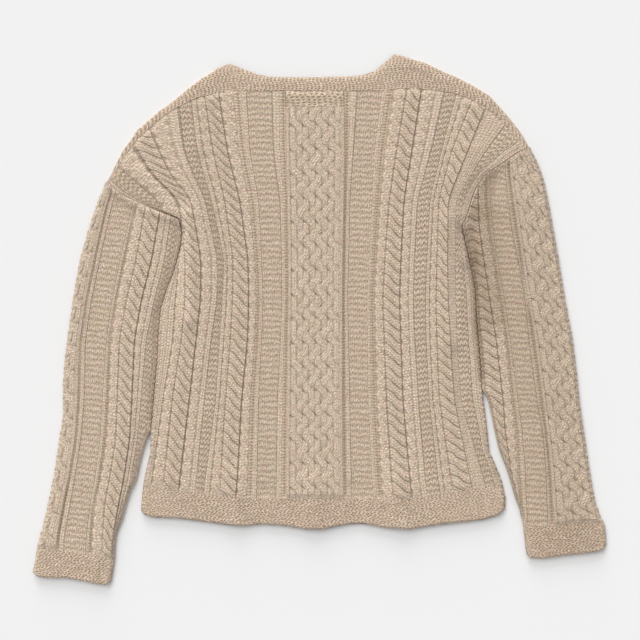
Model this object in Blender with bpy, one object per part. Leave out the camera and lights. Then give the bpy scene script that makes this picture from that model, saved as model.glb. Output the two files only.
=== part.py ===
"""Cable-knit pullover, laid flat on its front with the back uppermost.

All tables are in millimetres: x to the right, y towards the neck, z up from the surface
that the pullover lies on. Left and right are as seen from above. Each knitted piece is a
closed wall. Its lines run up the knitting, from the lower edge of the piece to its upper
edge, and the cables, ribs and bands are raised in the points of those lines.
"""
import math

import bpy
import numpy as np

MM = 0.001

# Cloth
WALL = 3.0              # plain knitting
GAP = 0.3               # between the front and the back
SEAM_GAP = 0.4          # between two pieces at a seam, measured along x or y
LEAST_WALL = 2.4        # thickness that the cloth keeps where it turns down at a fold
FRONT_TOP = WALL
BACK_UNDER = WALL + GAP
LOFT = 1.6              # how far the back puffs up off the front
SEAM_CLEARANCE = 0.8    # between a sleeve and the body, measured along x or y
MIN_LANE = 1.6          # a lane that is squeezed at a side fold stays this wide
BEND = 0.2              # how far a straight run may leave its line at an outline
LOOSE_BEND = 1.4        # and where its neighbours are far away
RIM_MARGIN = 7.0        # plain faces change to closer points this far from a rim
LANE_EASE = 12.0        # corners of the lane limits are eased over this much of their height
LANE_FADE = 3.0         # a pattern fades out over this much of its lane's last width

# Raised patterns, their heights above the ground of the cloth
ROPE = 3.2
BRAID = 3.2
TWIST = 2.2
RIB = 1.5
LADDER = 0.9
MOSS = 0.7

# Repeats along the knitting
ROPE_PITCH = 15.3
ROPE_TURN = 1.15        # turns that a rope's strands lie over from one side of it to the other
TWIST_PITCH = 15.3
BRAID_PITCH = 31.8
BRAID_SHIFT = -0.5      # where the braid begins, in half repeats
BRAID_STRANDS = 8
PLAIN_ROW = 42.0        # spacing of points where nothing is raised
FRONT_ROW = 60.0
CUFF_ROW = 14.0

# Rounding of the side folds
FOLD_RADIUS = 4.5
FOLD_EDGE = 1.0         # thickness left at the very edge of a fold
UNDER_ROUND = ((0.0, 1.7), (1.6, 0.6), (4.5, 0.0))   # distance in from the fold, height
STATION_INSET = 5.2     # rim points of a tube's plain faces start this far in from its folds
SLIT_TAPER = 9.0        # the hollow between the layers closes over this distance from a fold
ROLL = (4.5, 1.2)       # points of a strip where it rolls over, measured in from its edge
LEAST_ROLL = 6.5        # a strip narrower than this has one point there instead
FRONT_HEM_RISE = 1.5    # the front's lower band stops this far short of the back's

SAMPLE = 1.0            # spacing of the points that a line is first read at
HEIGHTS = np.arange(-296.0, 360.0, SAMPLE)
ARMHOLE_TOP = 232.0
SLEEVE_HEIGHTS = np.arange(-358.0, ARMHOLE_TOP, SAMPLE)
HEM_HEIGHTS = np.arange(-300.0, -200.0, SAMPLE)
CUFF_HEIGHTS = np.arange(-360.0, -255.0, SAMPLE)

WOOL = (0.515, 0.41, 0.32, 1.0)
WOOL_BAND = (0.50, 0.395, 0.305, 1.0)
WOOL_ROUGHNESS = 0.95


def table(names, rows):
    """Columns of a table by name."""
    return dict(zip(names, np.array(rows, float).T))


# Where each panel of the back begins and ends, measured out from the centre line
PANEL_NAMES = ("height", "braid", "ladder_in", "ladder_out", "rope1_in", "rope1_out",
               "moss_in", "moss_out", "rope2_in", "rope2_out", "band")
RIGHT_PANELS = table(PANEL_NAMES, (
    (316.0, 32.5, 52.0, 85.0, 118.0, 136.5, 169.5, 185.5, 213.0, 234.5, 291.0),
    (223.5, 33.5, 45.5, 72.5, 102.5, 122.0, 148.5, 161.5, 175.0, 196.0, 221.0),
    (157.5, 32.5, 40.5, 69.5, 92.5, 111.5, 130.0, 146.0, 157.5, 169.5, 180.0),
    (78.5, 31.0, 39.0, 65.5, 86.5, 107.5, 126.0, 142.0, 155.0, 168.5, 179.0),
    (25.5, 30.5, 37.5, 62.5, 84.0, 105.5, 124.5, 140.0, 154.0, 169.5, 180.0),
    (-27.0, 30.5, 39.0, 63.5, 86.0, 107.5, 126.5, 141.0, 155.0, 172.5, 181.5),
    (-106.5, 30.5, 40.5, 64.0, 89.0, 110.0, 131.5, 145.0, 158.5, 178.0, 187.0),
    (-212.0, 31.5, 42.5, 69.5, 95.5, 119.5, 140.5, 157.0, 174.0, 199.5, 218.0),
    (-251.5, 32.5, 43.0, 72.5, 99.5, 124.0, 146.0, 163.0, 181.5, 208.0, 226.5)))
LEFT_PANELS = table(PANEL_NAMES, (
    (316.0, 44.0, 62.5, 97.0, 135.5, 154.0, 172.5, 188.0, 250.0, 303.0, 382.0),
    (223.5, 43.0, 60.0, 91.5, 121.5, 140.5, 161.0, 177.5, 212.0, 233.0, 286.0),
    (157.5, 41.5, 51.5, 80.0, 105.0, 124.5, 142.0, 150.0, 169.0, 184.5, 212.0),
    (78.5, 40.5, 49.5, 76.0, 94.0, 113.5, 125.5, 133.5, 156.0, 176.5, 185.0),
    (25.5, 40.5, 49.0, 74.0, 93.0, 114.0, 127.5, 134.0, 156.5, 176.5, 190.0),
    (-27.0, 41.5, 51.0, 76.0, 94.5, 117.0, 131.5, 142.0, 162.5, 181.5, 193.0),
    (-106.5, 42.0, 55.0, 80.0, 102.5, 123.5, 136.5, 151.0, 171.5, 193.5, 206.5),
    (-212.0, 43.0, 56.5, 82.0, 108.0, 130.0, 150.5, 161.5, 184.0, 204.5, 221.0),
    (-251.5, 43.5, 57.5, 83.0, 111.5, 132.5, 155.0, 165.5, 188.0, 210.5, 226.5)))

# How each side of the back is filled, from the braid outwards
BACK_LANES = (
    # kind, from, to, start and end as a share of the way between the two
    ("gutter", "braid", "ladder_in", 0.00, 0.45),
    ("rib", "braid", "ladder_in", 0.45, 1.00),
    ("ladder", "ladder_in", "ladder_out", 0.00, 1.00),
    ("rib", "ladder_out", "rope1_in", 0.00, 0.20),
    ("gutter", "ladder_out", "rope1_in", 0.20, 0.45),
    ("twist", "ladder_out", "rope1_in", 0.45, 1.00),
    ("rope", "rope1_in", "rope1_out", 0.00, 1.00),
    ("twist", "rope1_out", "moss_in", 0.00, 0.62),
    ("rib", "rope1_out", "moss_in", 0.62, 1.00),
    ("moss", "moss_in", "moss_out", 0.00, 1.00),
    ("rib", "moss_out", "rope2_in", 0.00, 0.35),
    ("twist", "moss_out", "rope2_in", 0.35, 1.00),
    ("rope", "rope2_in", "rope2_out", 0.00, 1.00),
    ("twist", "rope2_out", "band", 0.00, 1.00),
    ("moss", "band", "edge", 0.00, 0.70),
    ("fold", "band", "edge", 0.70, 1.00),
)

# Side folds of the body up to the armpits, and on along the armhole seams to the shoulders
LEFT_EDGE = table(("x", "y"), (
    (-234.5, -255.5), (-235.5, -245.0), (-233.0, -226.5), (-230.5, -206.5), (-223.5, -180.0),
    (-222.5, -146.0), (-220.0, -117.0), (-216.5, -80.0), (-214.0, -53.5), (-213.0, -20.5),
    (-209.5, 14.0), (-201.5, 40.5), (-193.5, 60.0), (-187.0, 82.5), (-183.0, 98.5),
    (-181.5, 115.5), (-185.5, 132.5), (-217.0, 144.5), (-243.5, 156.5), (-263.5, 167.0),
    (-280.5, 183.0), (-292.0, 194.0)))
RIGHT_EDGE = table(("x", "y"), (
    (244.5, -250.0), (245.5, -235.5), (239.5, -211.0), (233.0, -194.5), (223.5, -173.5),
    (221.0, -144.5), (216.0, -109.0), (214.5, -91.5), (212.5, -58.5), (210.5, -33.5),
    (207.5, -0.5), (206.0, 39.0), (198.5, 76.0), (193.5, 98.5), (187.5, 123.5),
    (195.5, 140.5), (200.5, 159.0), (207.5, 176.0), (219.0, 192.0), (241.0, 206.0),
    (253.0, 214.5), (266.0, 223.0), (277.0, 227.0), (288.0, 231.0)))
LEFT_ARMPIT = 132.5
RIGHT_ARMPIT = 123.5

# Shoulder outlines, and the depth of the moss-stitch strip under each
LEFT_SHOULDER = table(("x", "y", "depth"), (
    (-280.5, 183.0, 8), (-271.5, 197.5, 9), (-266.0, 210.5, 10), (-259.5, 223.5, 11),
    (-249.0, 237.0, 12), (-241.0, 250.0, 13), (-225.0, 263.5, 13), (-210.5, 276.5, 12),
    (-197.5, 284.5, 11), (-176.0, 303.0, 17), (-155.0, 319.0, 25), (-144.5, 324.5, 29),
    (-134.0, 332.5, 33), (-119.5, 337.5, 36), (-112.0, 335.5, 34)))
RIGHT_SHOULDER = table(("x", "y", "depth"), (
    (89.0, 342.0, 40), (98.5, 350.5, 47), (109.0, 348.0, 43), (140.5, 338.5, 35),
    (161.5, 328.0, 27), (183.0, 319.0, 22), (204.0, 308.0, 20), (225.0, 295.0, 19),
    (246.0, 271.5, 16), (263.5, 250.0, 13), (271.5, 237.0, 11), (277.0, 227.0, 10)))
NECK_EDGE = table(("x", "y"), (
    (-112.0, 335.5), (-97.0, 329.5), (-76.0, 321.5), (-52.0, 320.0), (0.5, 320.0),
    (47.0, 321.5), (66.5, 324.0), (77.0, 330.5), (89.0, 342.0)))
NECKBAND_LOW = 301.5
SCOOP_CENTRE = (-10.5, 337.0)
SCOOP_HALF_WIDTH = 109.0
SCOOP_DEPTH = 100.0
NECKBAND = 20.0

# Lower band of the body
HEM_SEAM = table(("x", "y"), (
    (-235.5, -217.0), (-210.5, -221.0), (-184.0, -226.5), (-144.5, -231.5), (-105.0, -235.5),
    (-52.0, -237.0), (0.5, -235.5), (53.5, -237.0), (106.5, -238.5), (132.5, -235.5),
    (159.0, -230.5), (198.5, -225.0), (245.0, -217.0)))
HEM_EDGE = table(("x", "y"), (
    (-234.5, -255.5), (-223.5, -260.5), (-187.0, -262.0), (-155.0, -266.0), (-123.5, -270.0),
    (-102.5, -272.5), (-76.0, -270.0), (-49.5, -271.5), (-18.0, -276.5), (3.5, -276.5),
    (35.0, -270.0), (56.0, -268.5), (88.0, -275.0), (119.5, -276.5), (151.0, -271.5),
    (183.0, -267.5), (214.5, -264.0), (235.5, -258.0), (244.5, -250.0)))

# Sleeves: folds, panels and cuffs
LEFT_SLEEVE_OUT = table(("x", "y"), (
    (-379.0, -334.5), (-375.5, -317.5), (-373.0, -299.5), (-365.0, -271.5), (-357.5, -238.5),
    (-350.5, -205.5), (-345.0, -165.5), (-338.5, -126.0), (-339.0, -86.5), (-336.0, -47.0),
    (-330.5, -7.5), (-325.5, 28.5), (-316.0, 81.0), (-305.5, 118.0), (-292.5, 157.5),
    (-280.5, 183.0)))
LEFT_SLEEVE_IN = table(("x", "y"), (
    (-276.0, -350.0), (-273.0, -330.5), (-270.5, -315.0), (-270.0, -297.5), (-267.5, -279.0),
    (-260.5, -264.5), (-254.0, -239.5), (-250.0, -227.5), (-242.0, -212.0), (-237.0, -188.0),
    (-233.0, -172.5), (-229.0, -159.0), (-222.5, -146.0), (-180.0, -130.0)))
RIGHT_SLEEVE_OUT = table(("x", "y"), (
    (378.6, -302.5), (379.0, -292.5), (377.0, -270.0), (371.5, -262.0), (363.5, -238.5),
    (355.5, -192.0), (349.0, -146.0), (344.0, -113.0), (340.0, -73.5), (333.5, -20.5),
    (324.5, 25.5), (316.0, 78.5), (309.5, 115.5), (302.5, 154.0), (296.5, 184.0),
    (287.0, 210.5), (277.0, 227.0)))
RIGHT_SLEEVE_IN = table(("x", "y"), (
    (275.0, -315.5), (273.0, -308.0), (269.0, -272.5), (266.0, -254.0), (259.0, -238.5),
    (253.0, -217.0), (247.5, -198.5), (237.0, -172.5), (231.0, -146.0), (222.5, -106.5),
    (216.0, -93.0), (170.0, -80.0)))
LEFT_SLEEVE_PANELS = table(
    ("height", "braid", "ladder_out", "ladder_in", "twist", "rope_out", "rope_in", "moss"), (
        (190.5, -268.5, -262.0, -235.5, -229.0, -217.0, -197.5, -179.0),
        (144.5, -282.0, -274.5, -247.5, -242.0, -229.5, -209.5, -194.0),
        (78.5, -296.5, -289.0, -262.5, -256.0, -241.0, -221.0, -203.5),
        (25.5, -307.0, -300.0, -273.0, -267.0, -254.0, -234.5, -217.0),
        (-27.0, -315.0, -308.0, -280.5, -275.0, -263.0, -243.5, -227.5),
        (-106.5, -318.0, -309.5, -286.0, -278.0, -266.0, -247.0, -234.5),
        (-159.0, -321.5, -314.0, -289.0, -281.0, -268.0, -250.0, -239.5),
        (-212.0, -330.5, -322.5, -296.0, -288.5, -276.5, -258.0, -249.0),
        (-238.5, -336.5, -327.0, -301.0, -295.5, -282.0, -263.5, -256.5),
        (-291.0, -346.0, -336.5, -307.5, -300.5, -286.0, -273.0, -271.5)))
RIGHT_SLEEVE_PANELS = table(
    ("height", "rope_out", "rib", "ladder_in", "ladder_out", "braid"), (
        (197.5, 209.0, 219.5, 224.5, 245.0, 251.0),
        (157.5, 209.0, 219.0, 225.5, 249.0, 255.5),
        (118.0, 211.0, 223.0, 229.0, 254.0, 261.5),
        (78.5, 216.5, 229.5, 235.0, 262.0, 267.0),
        (25.5, 224.5, 237.5, 244.5, 271.5, 275.0),
        (-27.0, 233.0, 246.0, 252.0, 276.5, 284.0),
        (-106.5, 242.0, 254.0, 262.0, 287.0, 294.5),
        (-146.0, 244.5, 259.0, 267.5, 294.5, 299.5),
        (-198.5, 252.0, 261.5, 272.0, 299.0, 305.0),
        (-238.5, 261.5, 264.0, 273.0, 300.5, 307.5),
        (-278.0, 270.5, 272.0, 275.0, 301.5, 310.0)))
LEFT_SLEEVE_LANES = (
    ("fold", "edge_out", "braid", 0.00, 0.20),
    ("braid", "edge_out", "braid", 0.20, 1.00),
    ("gutter", "braid", "ladder_out", 0.00, 0.40),
    ("rib", "braid", "ladder_out", 0.40, 1.00),
    ("ladder", "ladder_out", "ladder_in", 0.00, 1.00),
    ("rib", "ladder_in", "twist", 0.00, 0.60),
    ("gutter", "ladder_in", "twist", 0.60, 1.00),
    ("twist", "twist", "rope_out", 0.00, 1.00),
    ("rope", "rope_out", "rope_in", 0.00, 1.00),
    ("twist", "rope_in", "moss", 0.00, 0.60),
    ("rib", "rope_in", "moss", 0.60, 1.00),
    ("moss", "moss", "edge_in", 0.00, 0.60),
    ("fold", "moss", "edge_in", 0.60, 1.00),
)
RIGHT_SLEEVE_LANES = (
    ("fold", "edge_in", "rope_out", 0.00, 0.15),
    ("rope", "edge_in", "rope_out", 0.15, 1.00),
    ("twist", "rope_out", "rib", 0.00, 1.00),
    ("rib", "rib", "ladder_in", 0.00, 1.00),
    ("ladder", "ladder_in", "ladder_out", 0.00, 1.00),
    ("rib", "ladder_out", "braid", 0.00, 0.50),
    ("gutter", "ladder_out", "braid", 0.50, 1.00),
    ("braid", "braid", "edge_out", 0.00, 0.92),
    ("fold", "braid", "edge_out", 0.92, 1.00),
)
LEFT_CUFF_SEAM = table(("x", "y"), (
    (-373.0, -299.5), (-350.0, -304.5), (-325.0, -308.0), (-300.0, -311.5), (-270.0, -315.0)))
RIGHT_CUFF_SEAM = table(("x", "y"), (
    (269.0, -271.0), (305.0, -273.0), (330.0, -270.0), (355.0, -267.5), (377.0, -267.5)))
LEFT_CUFF_EDGE = table(("x", "y"), (
    (-377.5, -334.0), (-374.0, -339.0), (-360.0, -341.0), (-336.5, -341.0), (-313.0, -345.0),
    (-295.0, -349.0), (-281.0, -350.5), (-275.5, -345.0)))
RIGHT_CUFF_EDGE = table(("x", "y"), (
    (273.5, -309.0), (277.0, -314.5), (294.5, -315.5), (318.0, -312.0), (341.5, -309.5),
    (365.0, -307.0), (374.0, -304.0), (378.8, -297.0)))

# Soft ridges (height above nought) and troughs (below) in the upper layer
CREASES = table(("x1", "y1", "x2", "y2", "half_width", "height"), (
    (-173.5, 138.0, -170.0, 0.0, 11.0, 5.0),      # lit fold down from the left armpit
    (-151.0, 210.0, -128.5, 25.0, 10.0, -2.2),    # the trough beside it
    (-128.5, 25.0, -152.0, -106.0, 10.0, -1.4),
    (168.0, 130.0, 175.0, -30.0, 13.0, 3.6),      # fold down from the right armpit
    (200.0, 222.0, 182.0, 150.0, 14.0, 3.0),      # slack under the right shoulder
    (188.0, 136.0, 193.0, 78.0, 9.0, 3.4),        # right armpit, which stands off the sleeve
    (230.0, 185.0, 208.0, 120.0, 9.0, -1.8),      # hollow of the right sleeve beside it
    (-232.0, 196.0, -190.0, 150.0, 10.0, 2.2),    # left shoulder blade
    (-113.0, -268.0, -110.0, -205.0, 13.0, 3.0),  # flutes of the lower band
    (-7.0, -276.0, -9.0, -215.0, 15.0, 3.4),
    (109.0, -276.0, 106.0, -210.0, 15.0, 3.6),
    (49.0, -268.0, 45.0, -222.0, 9.0, -1.6),
    (-76.0, -270.0, -74.0, -225.0, 9.0, -1.4),
    (-237.0, -14.0, -226.0, -140.0, 10.0, 2.0),   # inner side of the left sleeve
    (-318.0, 80.0, -333.0, -60.0, 16.0, 1.2),
    (262.0, 150.0, 300.0, -100.0, 22.0, 1.6),     # right sleeve
    (300.0, -150.0, 330.0, -240.0, 20.0, 1.4),
))


# ------------------------------------------------------------------ reading the tables

def eased(y, line, soften=10.0, across="x", along="y"):
    """Value of a table line at y, its corners eased over a short span."""
    order = np.argsort(line[along])
    steps = np.linspace(-soften, soften, 7)
    return np.mean([np.interp(y + step, line[along][order], line[across][order])
                    for step in steps], axis=0)


def over(x, line, value="y"):
    """Value of a table line at x."""
    return np.interp(x, line["x"], line[value])


def smooth(t):
    """Ease from nought to one."""
    t = np.clip(t, 0.0, 1.0)
    return t * t * (3.0 - 2.0 * t)


def left_edge(y):
    """The left side fold of the body, and the left armhole seam above it."""
    return eased(y, LEFT_EDGE, 3.0)


def right_edge(y):
    """The right side fold of the body, and the right armhole seam above it."""
    return eased(y, RIGHT_EDGE, 3.0)


def puff(x, y):
    """How far the upper layer stands off the lower one at a point."""
    height = np.full(np.shape(x), LOFT, float)
    for x1, y1, x2, y2, half_width, rise in zip(*CREASES.values()):
        run = np.array((x2 - x1, y2 - y1))
        share = ((x - x1) * run[0] + (y - y1) * run[1]) / run.dot(run)
        share = np.clip(share, 0.0, 1.0)
        off = np.hypot(x - x1 - share * run[0], y - y1 - share * run[1])
        height = height + rise * np.exp(-(off / half_width) ** 2)
    return np.maximum(height, 0.0)


def dome(off, width):
    """Round top of a strand: one in its middle, and nought half its width away."""
    return math.sqrt(max(0.0, 1.0 - (2.0 * off / width) ** 2))


def braid_height(strand, along):
    """Plait of eight strands: pairs cross one way in one half repeat, then the other.

    A strand without a partner runs straight, and so do the half-width stitches at both edges.
    """
    half = along / (BRAID_PITCH / 2) + BRAID_SHIFT
    odd = math.floor(half) % 2
    part = half - math.floor(half)
    crossing = math.sin(math.pi * part)
    lean = (float(smooth(part)) - 0.5) * (1 if odd else -1)
    pair = math.floor((strand - odd) / 2) * 2 + odd
    if not 0 <= strand <= BRAID_STRANDS:
        top = dome(strand + 0.25 if strand < 0 else strand - BRAID_STRANDS - 0.25, 0.5)
    elif not 0 <= pair <= BRAID_STRANDS - 2:
        top = dome(strand - 0.5 if pair < 0 else strand - BRAID_STRANDS + 0.5, 1.05)
    else:
        upper = dome(strand - pair - 1.0 - lean, 1.05 + 0.75 * crossing)
        lower = dome(strand - pair - 1.0 + lean, 1.05) * (1.0 - 0.5 * crossing)
        top = max(upper, lower)
    return BRAID * (0.35 + 0.65 * top)


def relief(kind, share, along):
    """Height of a pattern above the ground, at a share of its width and a length along it."""
    if kind == "rope":
        turns = along / ROPE_PITCH + ROPE_TURN * (share - 0.5)
        return ROPE * (0.55 + 0.45 * abs(math.sin(math.pi * turns)))
    if kind == "twist":
        return TWIST * (0.8 + 0.2 * math.cos(2 * math.pi * along / TWIST_PITCH))
    return {"rib": RIB, "ladder": LADDER, "moss": MOSS, "fold": MOSS}.get(kind, 0.0)


# ------------------------------------------------------------------ lines and walls

class Line:
    """A line up the knitting, cut at the lower and upper edge of its piece."""

    def __init__(self, x, y, low, high, kind="ground", share=0.0, width=None, strands=None):
        inside = np.flatnonzero((y > low(x)) & (y < high(x)))
        first = inside[0]
        breaks = np.flatnonzero(np.diff(inside) > 1)
        last = inside[breaks[0]] if len(breaks) else inside[-1]
        ends = [self.crossing(x, y, first - 1, low), self.crossing(x, y, last, high)]
        self.x = np.concatenate(([ends[0][0]], x[first:last + 1], [ends[1][0]]))
        self.y = np.concatenate(([ends[0][1]], y[first:last + 1], [ends[1][1]]))
        self.s = np.concatenate(([0.0], np.cumsum(np.hypot(np.diff(self.x), np.diff(self.y)))))
        self.kind = kind
        self.share = share
        self.strands = strands
        self.cut = slice(first - 1, last + 2)
        self.width = np.full(len(self.x), 100.0) if width is None else width[self.cut]
        self.bend = np.full(len(self.x), BEND)

    @staticmethod
    def crossing(x, y, index, limit):
        """Point between two samples where the line meets the edge of its piece."""
        a = y[index] - limit(x[index])
        b = y[index + 1] - limit(x[index + 1])
        t = a / (a - b) if a != b else 0.5
        return (x[index] + t * (x[index + 1] - x[index]), y[index] + t * (y[index + 1] - y[index]))

    def bends(self, start, end):
        """Lengths that need a point between two others, because the line curves away."""
        inside = self.s[(self.s > start + 1.0) & (self.s < end - 1.0)]
        if len(inside) == 0:
            return []
        (x, x1, x2), (y, y1, y2) = [np.split(value, (-2, -1)) for value in self.at(
            np.concatenate((inside, (start, end))))]
        off = np.abs((x2 - x1) * (y - y1) - (y2 - y1) * (x - x1)) / np.hypot(x2 - x1, y2 - y1)
        off = off / np.interp(inside, self.s, self.bend)
        worst = int(np.argmax(off))
        if off[worst] < 1.0:
            return []
        at = float(inside[worst])
        return self.bends(start, at) + [at] + self.bends(at, end)

    def rows(self, plain=PLAIN_ROW):
        """Lengths along the line that get a point, and the keys that pair them with neighbours.

        The keys also turn the diagonals of the braid's faces the way that its strands lean.
        """
        end = self.s[-1]
        lean = shear = 0.0
        if self.kind == "rope":
            shear = ROPE_PITCH * ROPE_TURN * (self.share - 0.5)
            step = ROPE_PITCH / 2
        elif self.kind == "twist":
            step = TWIST_PITCH / 2
        elif self.kind == "braid":
            step = BRAID_PITCH / 4
        else:
            step = end / max(1, round(end / plain))
        inner = np.arange(math.ceil(shear / step) * step - shear, end, step)
        inner = inner[(inner > 0.3 * step) & (inner < end - 0.3 * step)]
        along = [0.0, *inner, end]
        more = [at for a, b in zip(along, along[1:]) for at in self.bends(a, b)]
        along = np.array(sorted(along + more))
        if self.kind == "braid":
            odd = np.floor(along / (BRAID_PITCH / 2) + BRAID_SHIFT - 0.1) % 2
            lean = self.share * (1.0 - 2.0 * odd)
        return along, along + shear + lean

    def at(self, along):
        """Points at lengths along the line."""
        return np.interp(along, self.s, self.x), np.interp(along, self.s, self.y)

    def pattern(self, along):
        """Height of the raised pattern, which fades out where its lane is squeezed."""
        if self.kind == "braid":
            first, last = self.strands
            raised = [braid_height(first + self.share * (last - first), at) for at in along]
        else:
            raised = [relief(self.kind, self.share, at) for at in along]
        return np.array(raised) * smooth((np.interp(along, self.s, self.width) - MIN_LANE) / LANE_FADE)


class Wall:
    """Collects points and triangles, then makes the closed solid.

    A row is a list of (key, point) pairs; rows are joined in the order of their keys.
    """

    def __init__(self):
        self.points = []
        self.faces = []

    def add(self, x, y, z):
        self.points.append((x * MM, y * MM, max(0.0, z) * MM))
        return len(self.points) - 1

    def row(self, along, x, y, z):
        """Adds a row of points with their keys."""
        return [(key, self.add(*spot)) for key, *spot in zip(along, x, y, z)]

    def join(self, a, b):
        """Triangles between two rows; they face the way from a to b, crossed with forwards."""
        i = j = 0
        while i < len(a) - 1 or j < len(b) - 1:
            if j == len(b) - 1 or (i < len(a) - 1 and a[i + 1][0] <= b[j + 1][0]):
                face = (a[i][1], b[j][1], a[i + 1][1])
                i += 1
            else:
                face = (a[i][1], b[j][1], b[j + 1][1])
                j += 1
            if len(set(face)) == 3:
                self.faces.append(face)

    def surface(self, rows):
        """Joins each row to the next."""
        for a, b in zip(rows, rows[1:]):
            self.join(a, b)

    def across(self, points):
        """A row that runs across the knitting, keyed by x."""
        return [(self.points[point][0], point) for point in points]

    def ends(self, rows):
        """The rows across the low and the high ends of rows that run up the knitting."""
        return [self.across([row[end][1] for row in rows]) for end in (0, -1)]

    def stations(self, lines, end, level):
        """A row across one end, with a point at the end of every line."""
        return self.across([self.add(line.x[end], line.y[end], level(line.x[end], line.y[end]))
                            for line in lines])

    def plain_face(self, rows, stations, facing_up=False):
        """A plain face: the outer rows reach its rims, the inner ones stop short of them.

        Returns its rims, which have a point at each station.
        """
        inner = [rows[0][1:-1]] + rows[1:-1] + [rows[-1][1:-1]]
        self.surface(inner if facing_up else inner[::-1])
        rims = []
        for end, middle, inside in zip((0, -1), stations, self.ends(inner)):
            rim = self.across([rows[0][end][1]]) + middle + self.across([rows[-1][end][1]])
            pair = (rim, inside) if (end == 0) != facing_up else (inside, rim)
            self.join(*pair)
            rims.append(rim)
        return rims

    def close_ends(self, upper, lower):
        """Walls at the low and high ends, between upper and lower rims."""
        self.join(upper[0], lower[0])
        self.join(lower[1], upper[1])

    def finish(self, name, colour):
        """Makes the solid, with its plain wool."""
        mesh = bpy.data.meshes.new(name)
        mesh.from_pydata(self.points, [], self.faces)
        mesh.update()
        mesh.shade_smooth()
        mesh.set_sharp_from_angle(angle=math.radians(50))
        wool = bpy.data.materials.new(name + "_wool")
        wool.use_nodes = True
        shader = wool.node_tree.nodes["Principled BSDF"]
        shader.inputs["Base Color"].default_value = colour
        shader.inputs["Roughness"].default_value = WOOL_ROUGHNESS
        shader.inputs["Metallic"].default_value = 0.0
        mesh.materials.append(wool)
        piece = bpy.data.objects.new(name, mesh)
        bpy.context.collection.objects.link(piece)
        return piece


def normalised(line):
    """The same row of points, keyed by its share of the way along."""
    last = line[-1][0]
    first = line[0][0]
    return [((key - first) / (last - first), index) for key, index in line]


# ------------------------------------------------------------------ lanes across a piece

LANE_POINTS = {
    "rope": (0.22, 0.5, 0.78),
    "twist": (0.5,),
    "rib": (0.5,),
    "ladder": (0.12, 0.88),
    "moss": (0.15, 0.85),
    "fold": (0.35, 0.72),
    "gutter": (),
}


def loosen(lines, across):
    """Let lines cut their bends as far as their nearest neighbour allows."""
    for line, before, here, after in zip(lines[1:], across, across[1:], across[2:]):
        room = np.minimum(here - before, after - here)[line.cut]
        line.bend = np.clip(0.13 * room, BEND, LOOSE_BEND)
    return lines


def lane_lines(lanes, heights, low, high):
    """Lines across a piece from lanes of (kind, left x, right x, strands)."""
    lines = [Line(lanes[0][1], heights, low, high)]
    across = [lanes[0][1]]
    for kind, left, right, strands in lanes:
        shares = LANE_POINTS.get(kind)
        if kind == "braid":
            count = int(round(abs(strands[1] - strands[0]) * 2))
            shares = [step / count for step in range(1, count)]
        width = right - left
        across += [left + share * width for share in shares] + [right]
        lines += [Line(left + share * width, heights, low, high, kind, share, width, strands)
                  for share in shares]
        lines.append(Line(right, heights, low, high))
    return loosen(lines, across)


def squeeze(bounds, order, edge):
    """Keep each lane at least as wide as its least width, giving way inwards from the edge."""
    slope = np.gradient(edge, SAMPLE)
    limit = edge
    for name in reversed(order):
        limit = limit - MIN_LANE * np.sqrt(1.0 + slope ** 2)
        bounds[name] = limit = np.minimum(bounds[name], limit)


def side_bounds(panels, edge):
    """Distances of the lane limits from the centre line, at each height."""
    order = [name for name in panels if name != "height"]
    bounds = {name: eased(HEIGHTS, panels, LANE_EASE, name, "height") for name in order}
    squeeze(bounds, order, edge)
    bounds["edge"] = edge
    return bounds


def between(bounds, first, second, share):
    """A limit part of the way from one named limit to another."""
    return bounds[first] + share * (bounds[second] - bounds[first])


def back_lanes():
    """Lanes of the back, from the left edge to the right edge."""
    left = side_bounds(LEFT_PANELS, -left_edge(HEIGHTS))
    right = side_bounds(RIGHT_PANELS, right_edge(HEIGHTS))
    lanes = [(kind, -between(left, a, b, end), -between(left, a, b, start), None)
             for kind, a, b, start, end in reversed(BACK_LANES)]
    lanes.append(("braid", -left["braid"], right["braid"], (-0.5, BRAID_STRANDS + 0.5)))
    lanes += [(kind, between(right, a, b, start), between(right, a, b, end), None)
              for kind, a, b, start, end in BACK_LANES]
    return lanes


# ------------------------------------------------------------------ limits of the pieces

def hem_seam(x):
    """Seam between the body and its lower band, eased so that both pieces follow it."""
    return np.mean([over(x + step, HEM_SEAM) for step in np.linspace(-15.0, 15.0, 7)], axis=0)


def strip_low(x):
    """Lower edge of the shoulder strips and the neckband, eased so that the back follows it."""
    return np.mean([strip_line(x + step) for step in np.linspace(-9.0, 9.0, 7)], axis=0)


def strip_line(x):
    """Lower edge of the shoulder strips and the neckband, before its corners are eased."""
    left = over(x, LEFT_SHOULDER) - over(x, LEFT_SHOULDER, "depth")
    right = over(x, RIGHT_SHOULDER) - over(x, RIGHT_SHOULDER, "depth")
    middle = np.full(np.shape(x), NECKBAND_LOW)
    return np.where(x < LEFT_SHOULDER["x"][-1], left,
                    np.where(x > RIGHT_SHOULDER["x"][0], right, middle))


def shoulder_line(x):
    """The shoulder outline over x."""
    return np.where(x < 0, over(x, LEFT_SHOULDER), over(x, RIGHT_SHOULDER))


def armhole(x, side, clearance):
    """Height of an armhole seam at x, moved up or down the outline of the body."""
    armpit, edge = (LEFT_ARMPIT, left_edge) if side < 0 else (RIGHT_ARMPIT, right_edge)
    heights = np.arange(armpit - 2.0, ARMHOLE_TOP, SAMPLE)
    across = edge(heights) * side
    return np.interp((x - side * clearance) * side, across, heights) - clearance


def fold_round(off, rise):
    """Share of the full thickness at a distance in from a fold."""
    radius = FOLD_RADIUS + rise
    t = np.clip(off / radius, 0.0, 1.0)
    return np.sqrt(1.0 - (1.0 - t) ** 2)


# ------------------------------------------------------------------ body

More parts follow.
